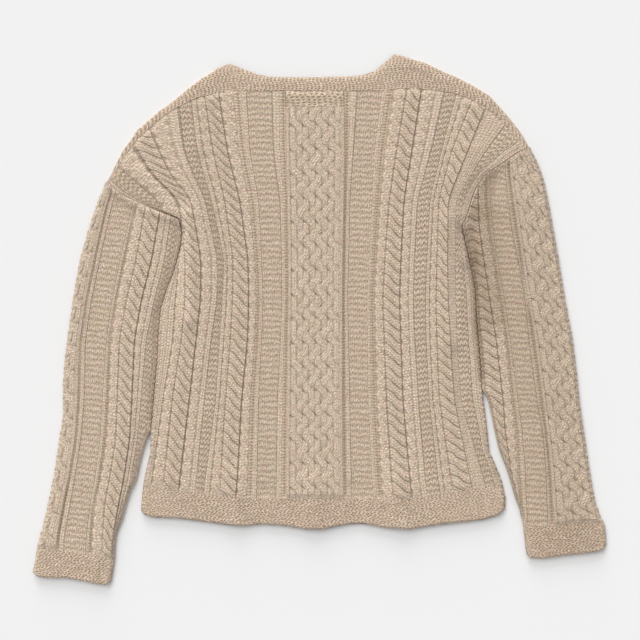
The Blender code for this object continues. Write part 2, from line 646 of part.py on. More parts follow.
def body_fold(y, side):
    """One along the side folds of the body, easing to nought along the armhole seams."""
    armpit = LEFT_ARMPIT if side < 0 else RIGHT_ARMPIT
    return 1.0 - smooth((y - armpit + 12.0) / 16.0)


def body_profile(x, y, pattern):
    """Heights of the top and the underside of the back at a point."""
    rise = puff(x, y)
    top = WALL + rise + pattern
    under = rise
    for side, edge in ((-1, left_edge(y)), (1, right_edge(y))):
        off = np.maximum(side * (edge - x), 0.0)
        bend = body_fold(y, side)
        rounded = np.maximum(top * fold_round(off, rise), FOLD_EDGE)
        top = top + bend * (rounded - top)
        under = under * (1.0 - bend * (1.0 - smooth(off / SLIT_TAPER)))
    under = np.minimum(under, np.maximum(top - LEAST_WALL, 0.0))
    return BACK_UNDER + top, BACK_UNDER + under


def back_under(x, y):
    """Height of the underside of the back."""
    return body_profile(x, y, 0.0)[1]


def spaced(lines, least):
    """Some of the lines, at least so far apart at their low ends, with the first and the last."""
    chosen = [lines[0]]
    for line in lines[1:-1]:
        if line.x[0] - chosen[-1].x[0] >= least and lines[-1].x[0] - line.x[0] >= least / 2:
            chosen.append(line)
    return chosen + [lines[-1]]


def upper_rows(wall, lines, profile, plain=PLAIN_ROW):
    """Points of the patterned outer face."""
    rows = []
    for line in lines:
        along, keys = line.rows(plain)
        x, y = line.at(along)
        rows.append(wall.row(keys, x, y, profile(x, y, line.pattern(along))[0]))
    return rows


def side_row(wall, line, level, plain=PLAIN_ROW):
    """A row from rim to rim, at the same lengths as the patterned face's."""
    along, _ = line.rows(plain)
    x, y = line.at(along)
    return wall.row(along, x, y, level(x, y))


def short_row(wall, line, level, plain=PLAIN_ROW):
    """A row that stops short of both rims."""
    start, stop = RIM_MARGIN, line.s[-1] - RIM_MARGIN
    along, _ = line.rows(plain)
    inner = along[(along > start + 4.0) & (along < stop - 4.0)]
    along = np.array([start, *inner, stop])
    x, y = line.at(along)
    return wall.row(along, x, y, level(x, y))


def close_sheet(name, upper, under, colour, wall):
    """Close a sheet whose faces have the same lines."""
    wall.surface(upper)
    wall.surface(under[::-1])
    wall.close_ends(wall.ends(upper), wall.ends(under))
    wall.join(normalised(under[0]), normalised(upper[0]))
    wall.join(normalised(upper[-1]), normalised(under[-1]))
    return wall.finish(name, colour)


def make_back():
    """The back and, on the same lines, its lower band."""
    wall = Wall()
    lines = lane_lines(back_lanes(), HEIGHTS, lambda x: hem_seam(x) + SEAM_GAP,
                       lambda x: strip_low(x) - SEAM_GAP)
    plain = [line for line in lines if line.kind == "ground"]
    upper = upper_rows(wall, lines, body_profile)
    chosen = plain[2:6] + plain[7:-6:2] + plain[-6:-2]
    under = [short_row(wall, line, back_under) for line in chosen]
    under = [side_row(wall, lines[0], back_under)] + under + [side_row(wall, lines[-1], back_under)]
    wall.surface(upper)
    rims = wall.plain_face(under, [wall.stations(lines[1:-1], end, back_under) for end in (0, -1)])
    wall.close_ends(wall.ends(upper), rims)
    wall.join(under[0], upper[0])
    wall.join(upper[-1], under[-1])
    wall.finish("back", WOOL)
    make_hem("hem_back", body_profile, 0.0, spaced(lines, 8.0), 3)


def front_profile(x, y, _pattern):
    """The front lies flat, its underside rounded up at the side folds."""
    off = np.minimum(x - left_edge(y), right_edge(y) - x)
    sides = np.maximum(body_fold(y, -1) * (x < 0), body_fold(y, 1) * (x > 0))
    rounded = np.interp(off, *zip(*UNDER_ROUND)) * sides
    return np.full(np.shape(x), FRONT_TOP), rounded


SIDE_SHARES = (0.0, 0.004, 0.012, 0.05, 0.10, 0.15, 0.20, 0.24)
SCOOP_ANGLES = np.radians(np.linspace(184.0, 356.0, 18))
SCOOP_SEAM = 0.5        # the front keeps this far from its neckband, measured out from the scoop


def even_lines(shares, heights, left, right, low, high):
    """Plain lines at shares of the way from one side to the other."""
    across = [left + share * (right - left) for share in shares]
    return loosen([Line(x, heights, low, high) for x in across], across)


def scoop(out, angle):
    """A point on the neckline of the front, moved outwards."""
    return (SCOOP_CENTRE[0] + (SCOOP_HALF_WIDTH + out) * np.cos(angle),
            SCOOP_CENTRE[1] + (SCOOP_DEPTH + out) * np.sin(angle))


def front_top(x):
    """Upper edge of the front: the shoulders, and the scoop between them."""
    out = NECKBAND + SCOOP_SEAM
    reach = (x - SCOOP_CENTRE[0]) / (SCOOP_HALF_WIDTH + out)
    drop = (SCOOP_DEPTH + out) * np.sqrt(np.clip(1.0 - reach ** 2, 0.0, 1.0))
    neck = np.where(np.abs(reach) < 1.0, SCOOP_CENTRE[1] - drop, 1000.0)
    return np.minimum(shoulder_line(x), neck)


def make_front():
    """The front and, on the same lines, its lower band."""
    wall = Wall()
    left, right = left_edge(HEIGHTS), right_edge(HEIGHTS)
    around = [(x - left[-1]) / (right[-1] - left[-1])
              for x in scoop(NECKBAND + SCOOP_SEAM, SCOOP_ANGLES)[0]]
    shares = [*SIDE_SHARES, *around, *(1.0 - share for share in SIDE_SHARES[::-1])]
    lines = even_lines(shares, HEIGHTS, left, right, lambda x: hem_seam(x) + SEAM_GAP, front_top)
    upper = upper_rows(wall, lines, front_profile, FRONT_ROW)
    under = [side_row(wall, line, lambda x, y: front_profile(x, y, 0.0)[1], FRONT_ROW)
             for line in lines]
    close_sheet("front", upper, under, WOOL, wall)
    make_hem("hem_front", front_profile, FRONT_HEM_RISE, lines, 2)
    ends = [(line.x[-1] - SCOOP_CENTRE[0], line.y[-1] - SCOOP_CENTRE[1]) for line in lines]
    out = NECKBAND + SCOOP_SEAM
    ends = [(x / (SCOOP_HALF_WIDTH + out), y / (SCOOP_DEPTH + out)) for x, y in ends]
    make_front_neckband([math.atan2(y, x) for x, y in ends if math.hypot(x, y) < 1.002 and y < -0.05])


# ------------------------------------------------------------------ bands on the body

def make_hem(name, profile, edge_drop, lines_above, row_count):
    """Moss-stitch band under the back or the front, its lines carrying on those above it."""
    wall = Wall()
    heights = HEM_HEIGHTS
    left, right = left_edge(heights), right_edge(heights)
    faces = [], []
    for above in lines_above:
        x, y = above.x[0], above.y[0]
        share = (x - left_edge(y)) / (right_edge(y) - left_edge(y))
        line = Line(left + share * (right - left), heights,
                    lambda x: over(x, HEM_EDGE) + edge_drop, hem_seam)
        for face, count in enumerate((row_count, 2)):
            along = np.linspace(0.0, line.s[-1], count)
            x, y = line.at(along)
            pattern = np.linspace(0.3, 1.0, count) * MOSS
            faces[face].append(wall.row(along, x, y, profile(x, y, pattern)[face]))
    return close_sheet(name, *faces, WOOL_BAND, wall)


def strip_profile(x, y, outline):
    """A strip on the upper layer that rolls down towards the shoulder or neck edge."""
    rise = puff(x, y) * smooth((outline - y) / 14.0)
    roll = fold_round(outline - y, 0.0)
    top = np.maximum((WALL + MOSS + rise) * roll, FOLD_EDGE)
    return BACK_UNDER + top, BACK_UNDER + np.minimum(rise, np.maximum(top - LEAST_WALL, 0.0))


def make_strip(name, stations, outline, lower):
    """Moss-stitch strip along a shoulder or across the back of the neck."""
    wall = Wall()
    faces = [], []
    for x in stations:
        edge, low = float(outline(x)), float(lower(x))
        rolled = [edge - off for off in ROLL] if edge - low > LEAST_ROLL else [(low + edge) / 2]
        ways = (low, *rolled, edge), (low, edge)
        for face, y in enumerate(ways):
            y = np.array(y)
            z = strip_profile(np.full(len(y), x), y, edge)[face]
            faces[face].append(normalised(wall.row(y, np.full(len(y), x), y, z)))
    return close_sheet(name, *faces, WOOL_BAND, wall)


def make_strips():
    """The shoulder strips and, between them, the back's neckband."""
    left_low = lambda x: max(strip_low(x), armhole(x, -1, -SEAM_CLEARANCE))
    right_low = lambda x: max(strip_low(x), armhole(x, 1, -SEAM_CLEARANCE))
    make_strip("shoulder_left", np.linspace(-276.0, -112.0 - SEAM_GAP, 19),
               lambda x: over(x, LEFT_SHOULDER), left_low)
    make_strip("shoulder_right", np.linspace(89.0 + SEAM_GAP, 273.0, 20),
               lambda x: over(x, RIGHT_SHOULDER), right_low)
    make_strip("neckband_back", np.linspace(-112.0, 89.0, 18),
               lambda x: over(x, NECK_EDGE), strip_low)


def make_front_neckband(angles):
    """Band round the scoop of the front, flat under the back, with a corner at each angle."""
    wall = Wall()
    faces = [], []
    for angle in angles:
        x, y = np.array([scoop(out, angle) for out in (NECKBAND, 0.0)]).T
        for face, z in zip(faces, (FRONT_TOP, 0.0)):
            face.append(wall.row((0, 1), x, y, (z, z)))
    return close_sheet("neckband_front", *faces, WOOL_BAND, wall)


# ------------------------------------------------------------------ sleeves and cuffs

class Tube:
    """A sleeve or cuff lying flat: limits at its two folds and its two ends."""

    def __init__(self, left, right, low, high, heights):
        self.left, self.right = left, right
        self.low, self.high = low, high
        self.heights = heights

    def inset(self, x, y):
        """Distance in from the nearer fold."""
        return np.minimum(x - np.interp(y, self.heights, self.left),
                          np.interp(y, self.heights, self.right) - x)

    def profile(self, x, y, pattern):
        """Heights of the outer face and of the ceiling inside."""
        off = np.maximum(self.inset(x, y), 0.0)
        rise = puff(x, y)
        top = (WALL + rise + pattern) * fold_round(off, rise)
        ceiling = np.minimum(rise * smooth(off / SLIT_TAPER), np.maximum(top - LEAST_WALL, 0.0))
        return BACK_UNDER + top, BACK_UNDER + ceiling

    def line(self, inset):
        """A line at a distance in from one fold, or at a share of the way between them."""
        if inset < 0:
            x = self.right + inset
        elif inset < 1:
            x = self.left + inset * (self.right - self.left)
        else:
            x = self.left + inset
        return Line(x, self.heights, self.low, self.high)

    def make(self, name, lines, colour, plain=PLAIN_ROW):
        """Outer face with its pattern above and flat below, and a thin slit inside."""
        wall = Wall()
        ceiling = lambda x, y: self.profile(x, y, 0.0)[1]
        inner_floor = lambda x, y: np.full(np.shape(x), FRONT_TOP)
        stations = [[line for line in lines if self.inset(line.x[end], line.y[end]) > STATION_INSET]
                    for end in (0, -1)]
        shares = (0.25, 0.5, 0.75)
        upper = upper_rows(wall, lines, self.profile, plain)
        wall.surface(upper)

        turns = []
        for distance, z in UNDER_ROUND[1:]:
            level = lambda x, y: np.full(np.shape(x), z)
            turns.append([side_row(wall, self.line(way * distance), level, plain) for way in (1, -1)])
        (left_turn, right_turn), (left_rest, right_rest) = turns
        wall.surface([left_rest, left_turn, upper[0]])
        wall.surface([upper[-1], right_turn, right_rest])
        corners = [side_row(wall, self.line(way * WALL), inner_floor, plain) for way in (1, -1)]

        def face(sides, level, facing_up):
            middle = [short_row(wall, self.line(share), level, 2 * plain) for share in shares]
            ends = [wall.stations(chosen, end, level) for end, chosen in zip((0, -1), stations)]
            return wall.plain_face([sides[0]] + middle + [sides[1]], ends, facing_up)

        ground = face((left_rest, right_rest), lambda x, y: np.zeros(np.shape(x)), False)
        floor_rims = face(corners, inner_floor, True)
        ceiling_rims = face(corners, ceiling, False)
        outer = [left + rim + right for left, rim, right in zip(
            wall.ends([upper[0], left_turn]), ground, wall.ends([right_turn, upper[-1]]))]
        wall.close_ends(wall.ends(upper), ceiling_rims)
        wall.close_ends(floor_rims, outer)
        return wall.finish(name, colour)


def sleeve_lanes(spec, bounds, strands):
    """Lanes of a sleeve, from its left side to its right."""
    return [(kind, between(bounds, a, b, start), between(bounds, a, b, end), strands)
            for kind, a, b, start, end in spec]


def make_left_sleeve():
    """The left sleeve and its cuff."""
    heights = SLEEVE_HEIGHTS
    body = left_edge(heights) - SEAM_CLEARANCE
    inner = np.where(heights > LEFT_ARMPIT, left_edge(LEFT_ARMPIT) - SEAM_CLEARANCE, np.minimum(
        body, np.where(heights < -130.0, eased(heights, LEFT_SLEEVE_IN, 4.0), 0.0)))
    bounds = {name: eased(heights, LEFT_SLEEVE_PANELS, LANE_EASE, name, "height")
              for name in LEFT_SLEEVE_PANELS if name != "height"}
    squeeze(bounds, ["braid", "ladder_out", "ladder_in", "twist", "rope_out", "rope_in", "moss"], inner)
    bounds["edge_in"] = inner
    bounds["edge_out"] = eased(heights, LEFT_SLEEVE_OUT, 6.0)
    low = lambda x: over(x, LEFT_CUFF_SEAM) + SEAM_GAP
    high = lambda x: armhole(x, -1, SEAM_CLEARANCE)
    lines = lane_lines(sleeve_lanes(LEFT_SLEEVE_LANES, bounds, (6.5, 8.5)), heights, low, high)
    Tube(bounds["edge_out"], inner, low, high, heights).make("sleeve_left", lines, WOOL)
    make_cuff("cuff_left", LEFT_SLEEVE_OUT, LEFT_SLEEVE_IN, LEFT_CUFF_EDGE, LEFT_CUFF_SEAM, lines)


def make_right_sleeve():
    """The right sleeve and its cuff."""
    heights = SLEEVE_HEIGHTS
    body = right_edge(heights) + SEAM_CLEARANCE
    inner = np.where(heights > RIGHT_ARMPIT, right_edge(RIGHT_ARMPIT) + SEAM_CLEARANCE, np.maximum(
        body, np.where(heights < -80.0, eased(heights, RIGHT_SLEEVE_IN, 4.0), 0.0)))
    bounds = {name: eased(heights, RIGHT_SLEEVE_PANELS, LANE_EASE, name, "height")
              for name in RIGHT_SLEEVE_PANELS if name != "height"}
    limit = inner
    for name in ("rope_out", "rib", "ladder_in", "ladder_out", "braid"):
        bounds[name] = np.maximum(bounds[name], limit + MIN_LANE)
        limit = bounds[name]
    bounds["edge_in"] = inner
    bounds["edge_out"] = eased(heights, RIGHT_SLEEVE_OUT, 6.0)
    low = lambda x: over(x, RIGHT_CUFF_SEAM) + SEAM_GAP
    high = lambda x: armhole(x, 1, SEAM_CLEARANCE)
    lines = lane_lines(sleeve_lanes(RIGHT_SLEEVE_LANES, bounds, (-0.5, 5.0)), heights, low, high)
    Tube(inner, bounds["edge_out"], low, high, heights).make("sleeve_right", lines, WOOL)
    make_cuff("cuff_right", RIGHT_SLEEVE_IN, RIGHT_SLEEVE_OUT, RIGHT_CUFF_EDGE, RIGHT_CUFF_SEAM,
              lines)


def make_cuff(name, left, right, edge, seam, lines_above):
    """Moss-stitch cuff, a short tube below the sleeve, its lines carrying on the sleeve's."""
    heights = CUFF_HEIGHTS
    left, right = [eased(heights, side, 4.0) for side in (left, right)]
    low = lambda x: over(x, edge)
    high = lambda x: over(x, seam)
    shares = []
    for above in spaced(lines_above, 7.0):
        sides = [np.interp(above.y[0], heights, side) for side in (left, right)]
        shares.append((above.x[0] - sides[0]) / (sides[1] - sides[0]))
    shares = [0.0, *shares[1:-1], 1.0]
    lines = even_lines(shares, heights, left, right, low, high)
    for line in lines[2:-2]:
        line.kind = "moss"
    return Tube(left, right, low, high, heights).make(name, lines, WOOL_BAND, CUFF_ROW)


def main():
    for piece in list(bpy.data.objects):
        bpy.data.objects.remove(piece, do_unlink=True)
    make_back()
    make_front()
    make_strips()
    make_left_sleeve()
    make_right_sleeve()


main()
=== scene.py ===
"""Cable-knit pullover, laid flat on its front with the back uppermost.

Tables are in millimetres: x to the right, y towards the neck, z up from the surface that the
pullover lies on. Left and right are as seen from above, and a side is -1 or 1 in that order.
"""
import math

import bpy
import numpy as np
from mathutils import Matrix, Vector


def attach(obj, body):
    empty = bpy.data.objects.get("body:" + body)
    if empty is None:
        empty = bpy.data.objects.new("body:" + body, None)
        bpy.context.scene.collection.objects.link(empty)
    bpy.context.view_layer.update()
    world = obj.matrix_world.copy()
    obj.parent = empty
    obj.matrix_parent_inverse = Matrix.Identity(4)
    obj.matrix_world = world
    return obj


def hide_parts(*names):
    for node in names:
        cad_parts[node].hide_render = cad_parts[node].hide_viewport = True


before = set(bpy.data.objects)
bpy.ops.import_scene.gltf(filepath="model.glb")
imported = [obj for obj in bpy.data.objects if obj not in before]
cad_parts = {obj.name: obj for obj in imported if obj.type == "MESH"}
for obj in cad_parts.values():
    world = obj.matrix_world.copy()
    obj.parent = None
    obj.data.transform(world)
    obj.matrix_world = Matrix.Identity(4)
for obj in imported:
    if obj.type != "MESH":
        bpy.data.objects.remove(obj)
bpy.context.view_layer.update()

# ------------------------------------------------------------------ front panel
# The front is plain knitting in heathered oatmeal wool, worked up from the lower band. It lies
# face down on the surface, flat where it rests, and turns up into the back at the side folds.

MM = 0.001
WALL = 3.0              # plain knitting
GAP = 0.3               # between the front and the back
FRONT_TOP = WALL
BACK_UNDER = WALL + GAP
WALE = 5.0              # width of a stitch
ROW = 3.9               # height of a stitch
SEAM = 0.04             # each piece stops this far from its seam
FOLD_RADIUS = 4.5       # how far in from a fold the cloth is rounded, where it isn't puffed up
FOLD_EDGE = 1.0         # thickness left at the very edge of a fold
FOLD_TURN = ((0.0, 1.7), (1.6, 0.6), (4.5, 0.0))    # distance in from a fold, height of the under side
BODY_HEIGHTS = np.arange(-300.0, 360.0, 1.0)
ARMPITS = {-1: 132.5, 1: 123.5}
FOLD_FADE = (-12.0, 4.0)    # a side fold ends between these heights from the armpit
TEETH = ((0.55, 7.8), (0.3, 5.3))   # height and spacing of the bumps that rows make along an edge
EDGE_EASE = 3.0         # corners of the side folds are eased over this much of their height
HEM_EASE = 15.0         # and those of the seam above the lower bands over this distance
EASE_STEPS = 7
SCOOP_CENTRE = (-10.5, 337.0)   # of the half ellipse that the neck is open to at the front
SCOOP_HALF_WIDTH = 109.0
SCOOP_DEPTH = 100.0
NECKBAND = 20.0         # width of the front's neckband


def table(names, rows):
    """Columns of a table by name."""
    return dict(zip(names, np.array(rows, float).T))


def smooth(t):
    """Ease from nought to one."""
    t = np.clip(t, 0.0, 1.0)
    return t * t * (3.0 - 2.0 * t)


def evened(line, place, reach):
    """Mean of a line over a short reach to both sides of a place, which eases its corners."""
    return np.mean([line(place + step) for step in np.linspace(-reach, reach, EASE_STEPS)], axis=0)


def eased(y, line, reach, across="x", along="y"):
    """Value of a table line at y, its corners eased."""
    order = np.argsort(line[along])
    return evened(lambda place: np.interp(place, line[along][order], line[across][order]), y, reach)


def over(x, line, value="y"):
    """Value of a table line at x."""
    return np.interp(x, line["x"], line[value])


# Side folds of the body up to the armpits, and on along the armhole seams to the shoulders
EDGES = {-1: table(("x", "y"), (
    (-234.5, -255.5), (-235.5, -245.0), (-233.0, -226.5), (-230.5, -206.5), (-223.5, -180.0),
    (-222.5, -146.0), (-220.0, -117.0), (-216.5, -80.0), (-214.0, -53.5), (-213.0, -20.5),
    (-209.5, 14.0), (-201.5, 40.5), (-193.5, 60.0), (-187.0, 82.5), (-183.0, 98.5),
    (-181.5, 115.5), (-185.5, 132.5), (-217.0, 144.5), (-243.5, 156.5), (-263.5, 167.0),
    (-280.5, 183.0), (-292.0, 194.0))), 1: table(("x", "y"), (
        (244.5, -250.0), (245.5, -235.5), (239.5, -211.0), (233.0, -194.5), (223.5, -173.5),
        (221.0, -144.5), (216.0, -109.0), (214.5, -91.5), (212.5, -58.5), (210.5, -33.5),
        (207.5, -0.5), (206.0, 39.0), (198.5, 76.0), (193.5, 98.5), (187.5, 123.5),
        (195.5, 140.5), (200.5, 159.0), (207.5, 176.0), (219.0, 192.0), (241.0, 206.0),
        (253.0, 214.5), (266.0, 223.0), (277.0, 227.0), (288.0, 231.0)))}
SHOULDERS = {-1: table(("x", "y", "depth"), (
    (-280.5, 183.0, 8), (-271.5, 197.5, 9), (-266.0, 210.5, 10), (-259.5, 223.5, 11),
    (-249.0, 237.0, 12), (-241.0, 250.0, 13), (-225.0, 263.5, 13), (-210.5, 276.5, 12),
    (-197.5, 284.5, 11), (-176.0, 303.0, 17), (-155.0, 319.0, 25), (-144.5, 324.5, 29),
    (-134.0, 332.5, 33), (-119.5, 337.5, 36), (-112.0, 335.5, 34))), 1: table(("x", "y", "depth"), (
        (89.0, 342.0, 40), (98.5, 350.5, 47), (109.0, 348.0, 43), (140.5, 338.5, 35),
        (161.5, 328.0, 27), (183.0, 319.0, 22), (204.0, 308.0, 20), (225.0, 295.0, 19),
        (246.0, 271.5, 16), (263.5, 250.0, 13), (271.5, 237.0, 11), (277.0, 227.0, 10)))}
HEM_SEAM = table(("x", "y"), (
    (-235.5, -217.0), (-210.5, -221.0), (-184.0, -226.5), (-144.5, -231.5), (-105.0, -235.5),
    (-52.0, -237.0), (0.5, -235.5), (53.5, -237.0), (106.5, -238.5), (132.5, -235.5),
    (159.0, -230.5), (198.5, -225.0), (245.0, -217.0)))


def teeth(along):
    """Small bumps that the rows of knitting make along an edge."""
    return sum(height * np.cos(2 * np.pi * along / spacing) for height, spacing in TEETH)


def body_fold(y, side):
    """One along the side folds of the body, easing to nought along the armhole seams."""
    start, end = FOLD_FADE
    return 1.0 - smooth((y - ARMPITS[side] - start) / (end - start))


def edge(y, side):
    """A side fold of the body, and the armhole seam above it."""
    return eased(y, EDGES[side], EDGE_EASE) + side * teeth(y) * body_fold(y, side)


def hem_seam(x):
    """Seam between the body and its lower band."""
    return evened(lambda place: over(place, HEM_SEAM), x, HEM_EASE)


def above_hem_seam(x):
    return hem_seam(x) + SEAM


def front_top(x):
    """Upper edge of the front: the shoulders, and the scoop between them."""
    reach = (x - SCOOP_CENTRE[0]) / (SCOOP_HALF_WIDTH + NECKBAND)
    drop = (SCOOP_DEPTH + NECKBAND) * np.sqrt(np.clip(1.0 - reach ** 2, 0.0, 1.0))
    neck = np.where(np.abs(reach) < 1.0, SCOOP_CENTRE[1] - drop, np.inf)
    return np.minimum(np.where(x < 0, over(x, SHOULDERS[-1]), over(x, SHOULDERS[1])), neck)


def front_under(x, y):
    """Height of the front's under side, which turns up at the side folds."""
    off = np.minimum(x - edge(y, -1), edge(y, 1) - x)
    sides = np.maximum(body_fold(y, -1) * (x < 0), body_fold(y, 1) * (x > 0))
    return np.interp(off, *zip(*FOLD_TURN)) * sides


# What each point knows of its stitch: where it lies across and along it, how much shade is painted
# into its colour (below nought, a painted highlight), and whether it is plain (0), purl in rows (1) or moss
# stitch (2)
STITCH_VALUES = ("wale", "row", "painted_shade", "purl")
SHARP_ANGLE = math.radians(75.0)


class Cloth:
    """Points and faces of one knitted piece. A strip is a row of points with their keys."""

    def __init__(self):
        self.points, self.stitches, self.faces, self.count = [], [], [], 0

    def add(self, x, y, z, wale=0.0, row=0.0, painted_shade=0.0, purl=0.0):
        """Adds points, each with its stitch, the shade painted into its colour, and how purled it is."""
        places = np.column_stack(np.broadcast_arrays(*np.atleast_1d(x, y, np.maximum(z, 0.0))))
        self.points.append(places * MM)
        stitch = np.broadcast_arrays(places[:, 0], wale, row, painted_shade, purl)[1:]
        self.stitches.append(np.column_stack(stitch))
        self.count += len(places)
        return np.arange(self.count - len(places), self.count)

    def strip(self, keys, x, y, z, **stitch):
        """Adds a strip of points."""
        return self.add(x, y, z, **stitch), np.asarray(keys, float)

    def join(self, a, b):
        """Faces between two strips; they face the way from a to b, crossed with forwards."""
        (pa, ka), (pb, kb) = a, b
        least = min(len(ka), len(kb))
        unlike = np.flatnonzero(ka[:least] != kb[:least])
        level = unlike[0] if len(unlike) else least
        if level > 1:
            self.faces.append(np.column_stack((pa[:level - 1], pb[:level - 1], pb[1:level], pa[1:level])))
        i = j = max(level - 1, 0)
        fan = []
        while i < len(ka) - 1 or j < len(kb) - 1:
            if j == len(kb) - 1 or (i < len(ka) - 1 and ka[i + 1] <= kb[j + 1]):
                fan.append((pa[i], pb[j], pa[i + 1]))
                i += 1
            else:
                fan.append((pa[i], pb[j], pb[j + 1]))
                j += 1
        if fan:
            self.faces.append(np.array(fan))

    def surface(self, strips):
        """Faces between each strip and the next one."""
        for a, b in zip(strips, strips[1:]):
            self.join(a, b)

    def across(self, strips, end):
        """The strip across one end of strips that run up the knitting, keyed by x."""
        points = np.array([strip[0][end] for strip in strips])
        return points, np.concatenate(self.points)[points, 0]

    def close(self, upper, under):
        """Edges all round, between an upper and an under face of the same outline."""
        self.join(self.across(upper, 0), self.across(under, 0))
        self.join(self.across(under, -1), self.across(upper, -1))
        self.join(share_keys(under[0]), share_keys(upper[0]))
        self.join(share_keys(upper[-1]), share_keys(under[-1]))

    def finish(self, name, wool):
        """Makes the piece."""
        mesh = bpy.data.meshes.new(name)
        points = np.concatenate(self.points)
        corners = np.concatenate([faces.ravel() for faces in self.faces])
        sizes = np.concatenate([np.full(len(faces), faces.shape[1]) for faces in self.faces])
        mesh.vertices.add(len(points))
        mesh.vertices.foreach_set("co", points.ravel())
        mesh.loops.add(len(corners))
        mesh.loops.foreach_set("vertex_index", corners.astype(np.int32))
        mesh.polygons.add(len(sizes))
        starts = np.concatenate(([0], np.cumsum(sizes)[:-1]))
        mesh.polygons.foreach_set("loop_start", starts.astype(np.int32))
        mesh.update(calc_edges=True)
        mesh.validate()
        for attribute, value in zip(STITCH_VALUES, np.concatenate(self.stitches).T):
            mesh.attributes.new(attribute, "FLOAT", "POINT").data.foreach_set("value", value)
        mesh.shade_smooth()
        mesh.set_sharp_from_angle(angle=SHARP_ANGLE)
        mesh.materials.append(wool)
        piece = bpy.data.objects.new(name, mesh)
        bpy.context.collection.objects.link(piece)
        return piece


def share_keys(strip):
    """The same strip, keyed by its share of the way along."""
    points, keys = strip
    return points, (keys - keys[0]) / (keys[-1] - keys[0])


def cut(x, y, low, high):
    """The part of a line that lies between two edges, with the length along it."""
    inside = np.flatnonzero((y > low(x)) & (y < high(x)))
    breaks = np.flatnonzero(np.diff(inside) > 1)
    first, last = inside[0], inside[breaks[0]] if len(breaks) else inside[-1]
    ends = []
    for index, limit in ((first - 1, low), (last, high)):
        a, b = y[index] - limit(x[index]), y[index + 1] - limit(x[index + 1])
        t = a / (a - b) if a != b else 0.5
        ends.append([line[index] + t * (line[index + 1] - line[index]) for line in (x, y)])
    x = np.concatenate(([ends[0][0]], x[first:last + 1], [ends[1][0]]))
    y = np.concatenate(([ends[0][1]], y[first:last + 1], [ends[1][1]]))
    return x, y, np.concatenate(([0.0], np.cumsum(np.hypot(np.diff(x), np.diff(y)))))


LEAST_STEP = 0.35       # a last step that would be shorter than this share of one is left out


def spaced(length, step):
    """Lengths a step apart from nought, and the whole length."""
    steps = np.arange(0.0, length, step)
    if len(steps) < 2:
        return np.array((0.0, length))
    return np.append(steps[steps < length - LEAST_STEP * step], length)


def plain_strips(cloth, across, heights, low, high, level, step):
    """Strips of points along lines up the knitting, without raised stitches."""
    strips = []
    for x in across:
        px, py, ps = cut(x, heights, low, high)
        keys = spaced(ps[-1], step)
        x, y = np.interp(keys, ps, px), np.interp(keys, ps, py)
        strips.append(cloth.strip(keys, x, y, level(x, y), wale=x / WALE, row=keys / ROW))
    return strips


class Socket:
    """A shader node's output. Arithmetic on it adds the Math nodes."""

    def __init__(self, tree, output):
        self.tree, self.output = tree, output

    def node(self, kind, settings=None, values=None, output=0):
        """Any other node: its settings are set first, then the values or links of its sockets."""
        made = self.tree.nodes.new("ShaderNode" + kind)
        for name, value in (settings or {}).items():
            setattr(made, name, value)
        for name, value in (values or {}).items():
            if isinstance(value, Socket):
                self.tree.links.new(value.output, made.inputs[name])
            else:
                made.inputs[name].default_value = value
        return Socket(self.tree, made.outputs[output])

    def math(self, operation, *others):
        return self.node("Math", {"operation": operation}, dict(enumerate((self, *others))))

    def __add__(self, other):
        return self.math("ADD", other)

    def __sub__(self, other):
        return self.math("SUBTRACT", other)

    def __rsub__(self, other):
        return self.node("Math", {"operation": "SUBTRACT"}, {0: other, 1: self})

    def __mul__(self, other):
        return self.math("MULTIPLY", other)

    __radd__, __rmul__ = __add__, __mul__

    def cycle(self):
        """One at whole numbers and nought halfway between them."""
        return (self * (2.0 * math.pi)).math("COSINE") * 0.5 + 0.5

    def distance(self, middle):
        return (self - middle).math("ABSOLUTE")

    def between(self, low, high):
        """Nought below low and one above high."""
        return self.node("MapRange", {"clamp": True}, {"Value": self, "From Min": low, "From Max": high})

    def blend(self, a, b):
        """Value a where this is nought, b where it is one."""
        return a + (b - a) * self

    def mix(self, a, b):
        """Colour a where this is nought, b where it is one."""
        return self.node("Mix", {"data_type": "RGBA"}, {0: self, 6: a, 7: b}, 2)


OATMEAL = (0.775, 0.645, 0.52)
# Tints of that colour: rosy and greenish patches, pale and brown fibres, and the deep brown of painted
# shade between stitches
ROSY, GREENISH = (1.04, 0.93, 0.92), (0.96, 0.99, 0.87)
PALE, BROWN, PAINTED_SHADE_TINT = (1.20, 1.22, 1.26), (0.58, 0.50, 0.42), (0.34, 0.28, 0.21)
PATCHES = 160.0         # fineness of the patches, more is finer
# Flecks of single fibres: their fineness, the noise that they show between, their cover and tint
FLECKS = ((430.0, 0.44, 0.57, 0.95, PALE), (480.0, 0.50, 0.62, 0.75, BROWN))
FLECK_DETAIL = (4.0, 0.65)
# How the stitches wander: fineness, and how far across and along
WALE_WANDER, ROW_WANDER = (110.0, 0.5), (140.0, 0.8)
HOLES = (190.0, 0.38, 0.58, 0.4)    # moss stitch: fineness of its uneven holes, range, and how uneven
STITCH_SHADE = 0.50     # how dark it is between two stitches
STITCH_BUMP = 1.15      # how far the finest relief of a stitch stands out
FUZZ = 0.9              # and the loose fibres on it
FUZZ_DETAIL = (500.0, 4.0, 0.7)
BUMP = 0.8


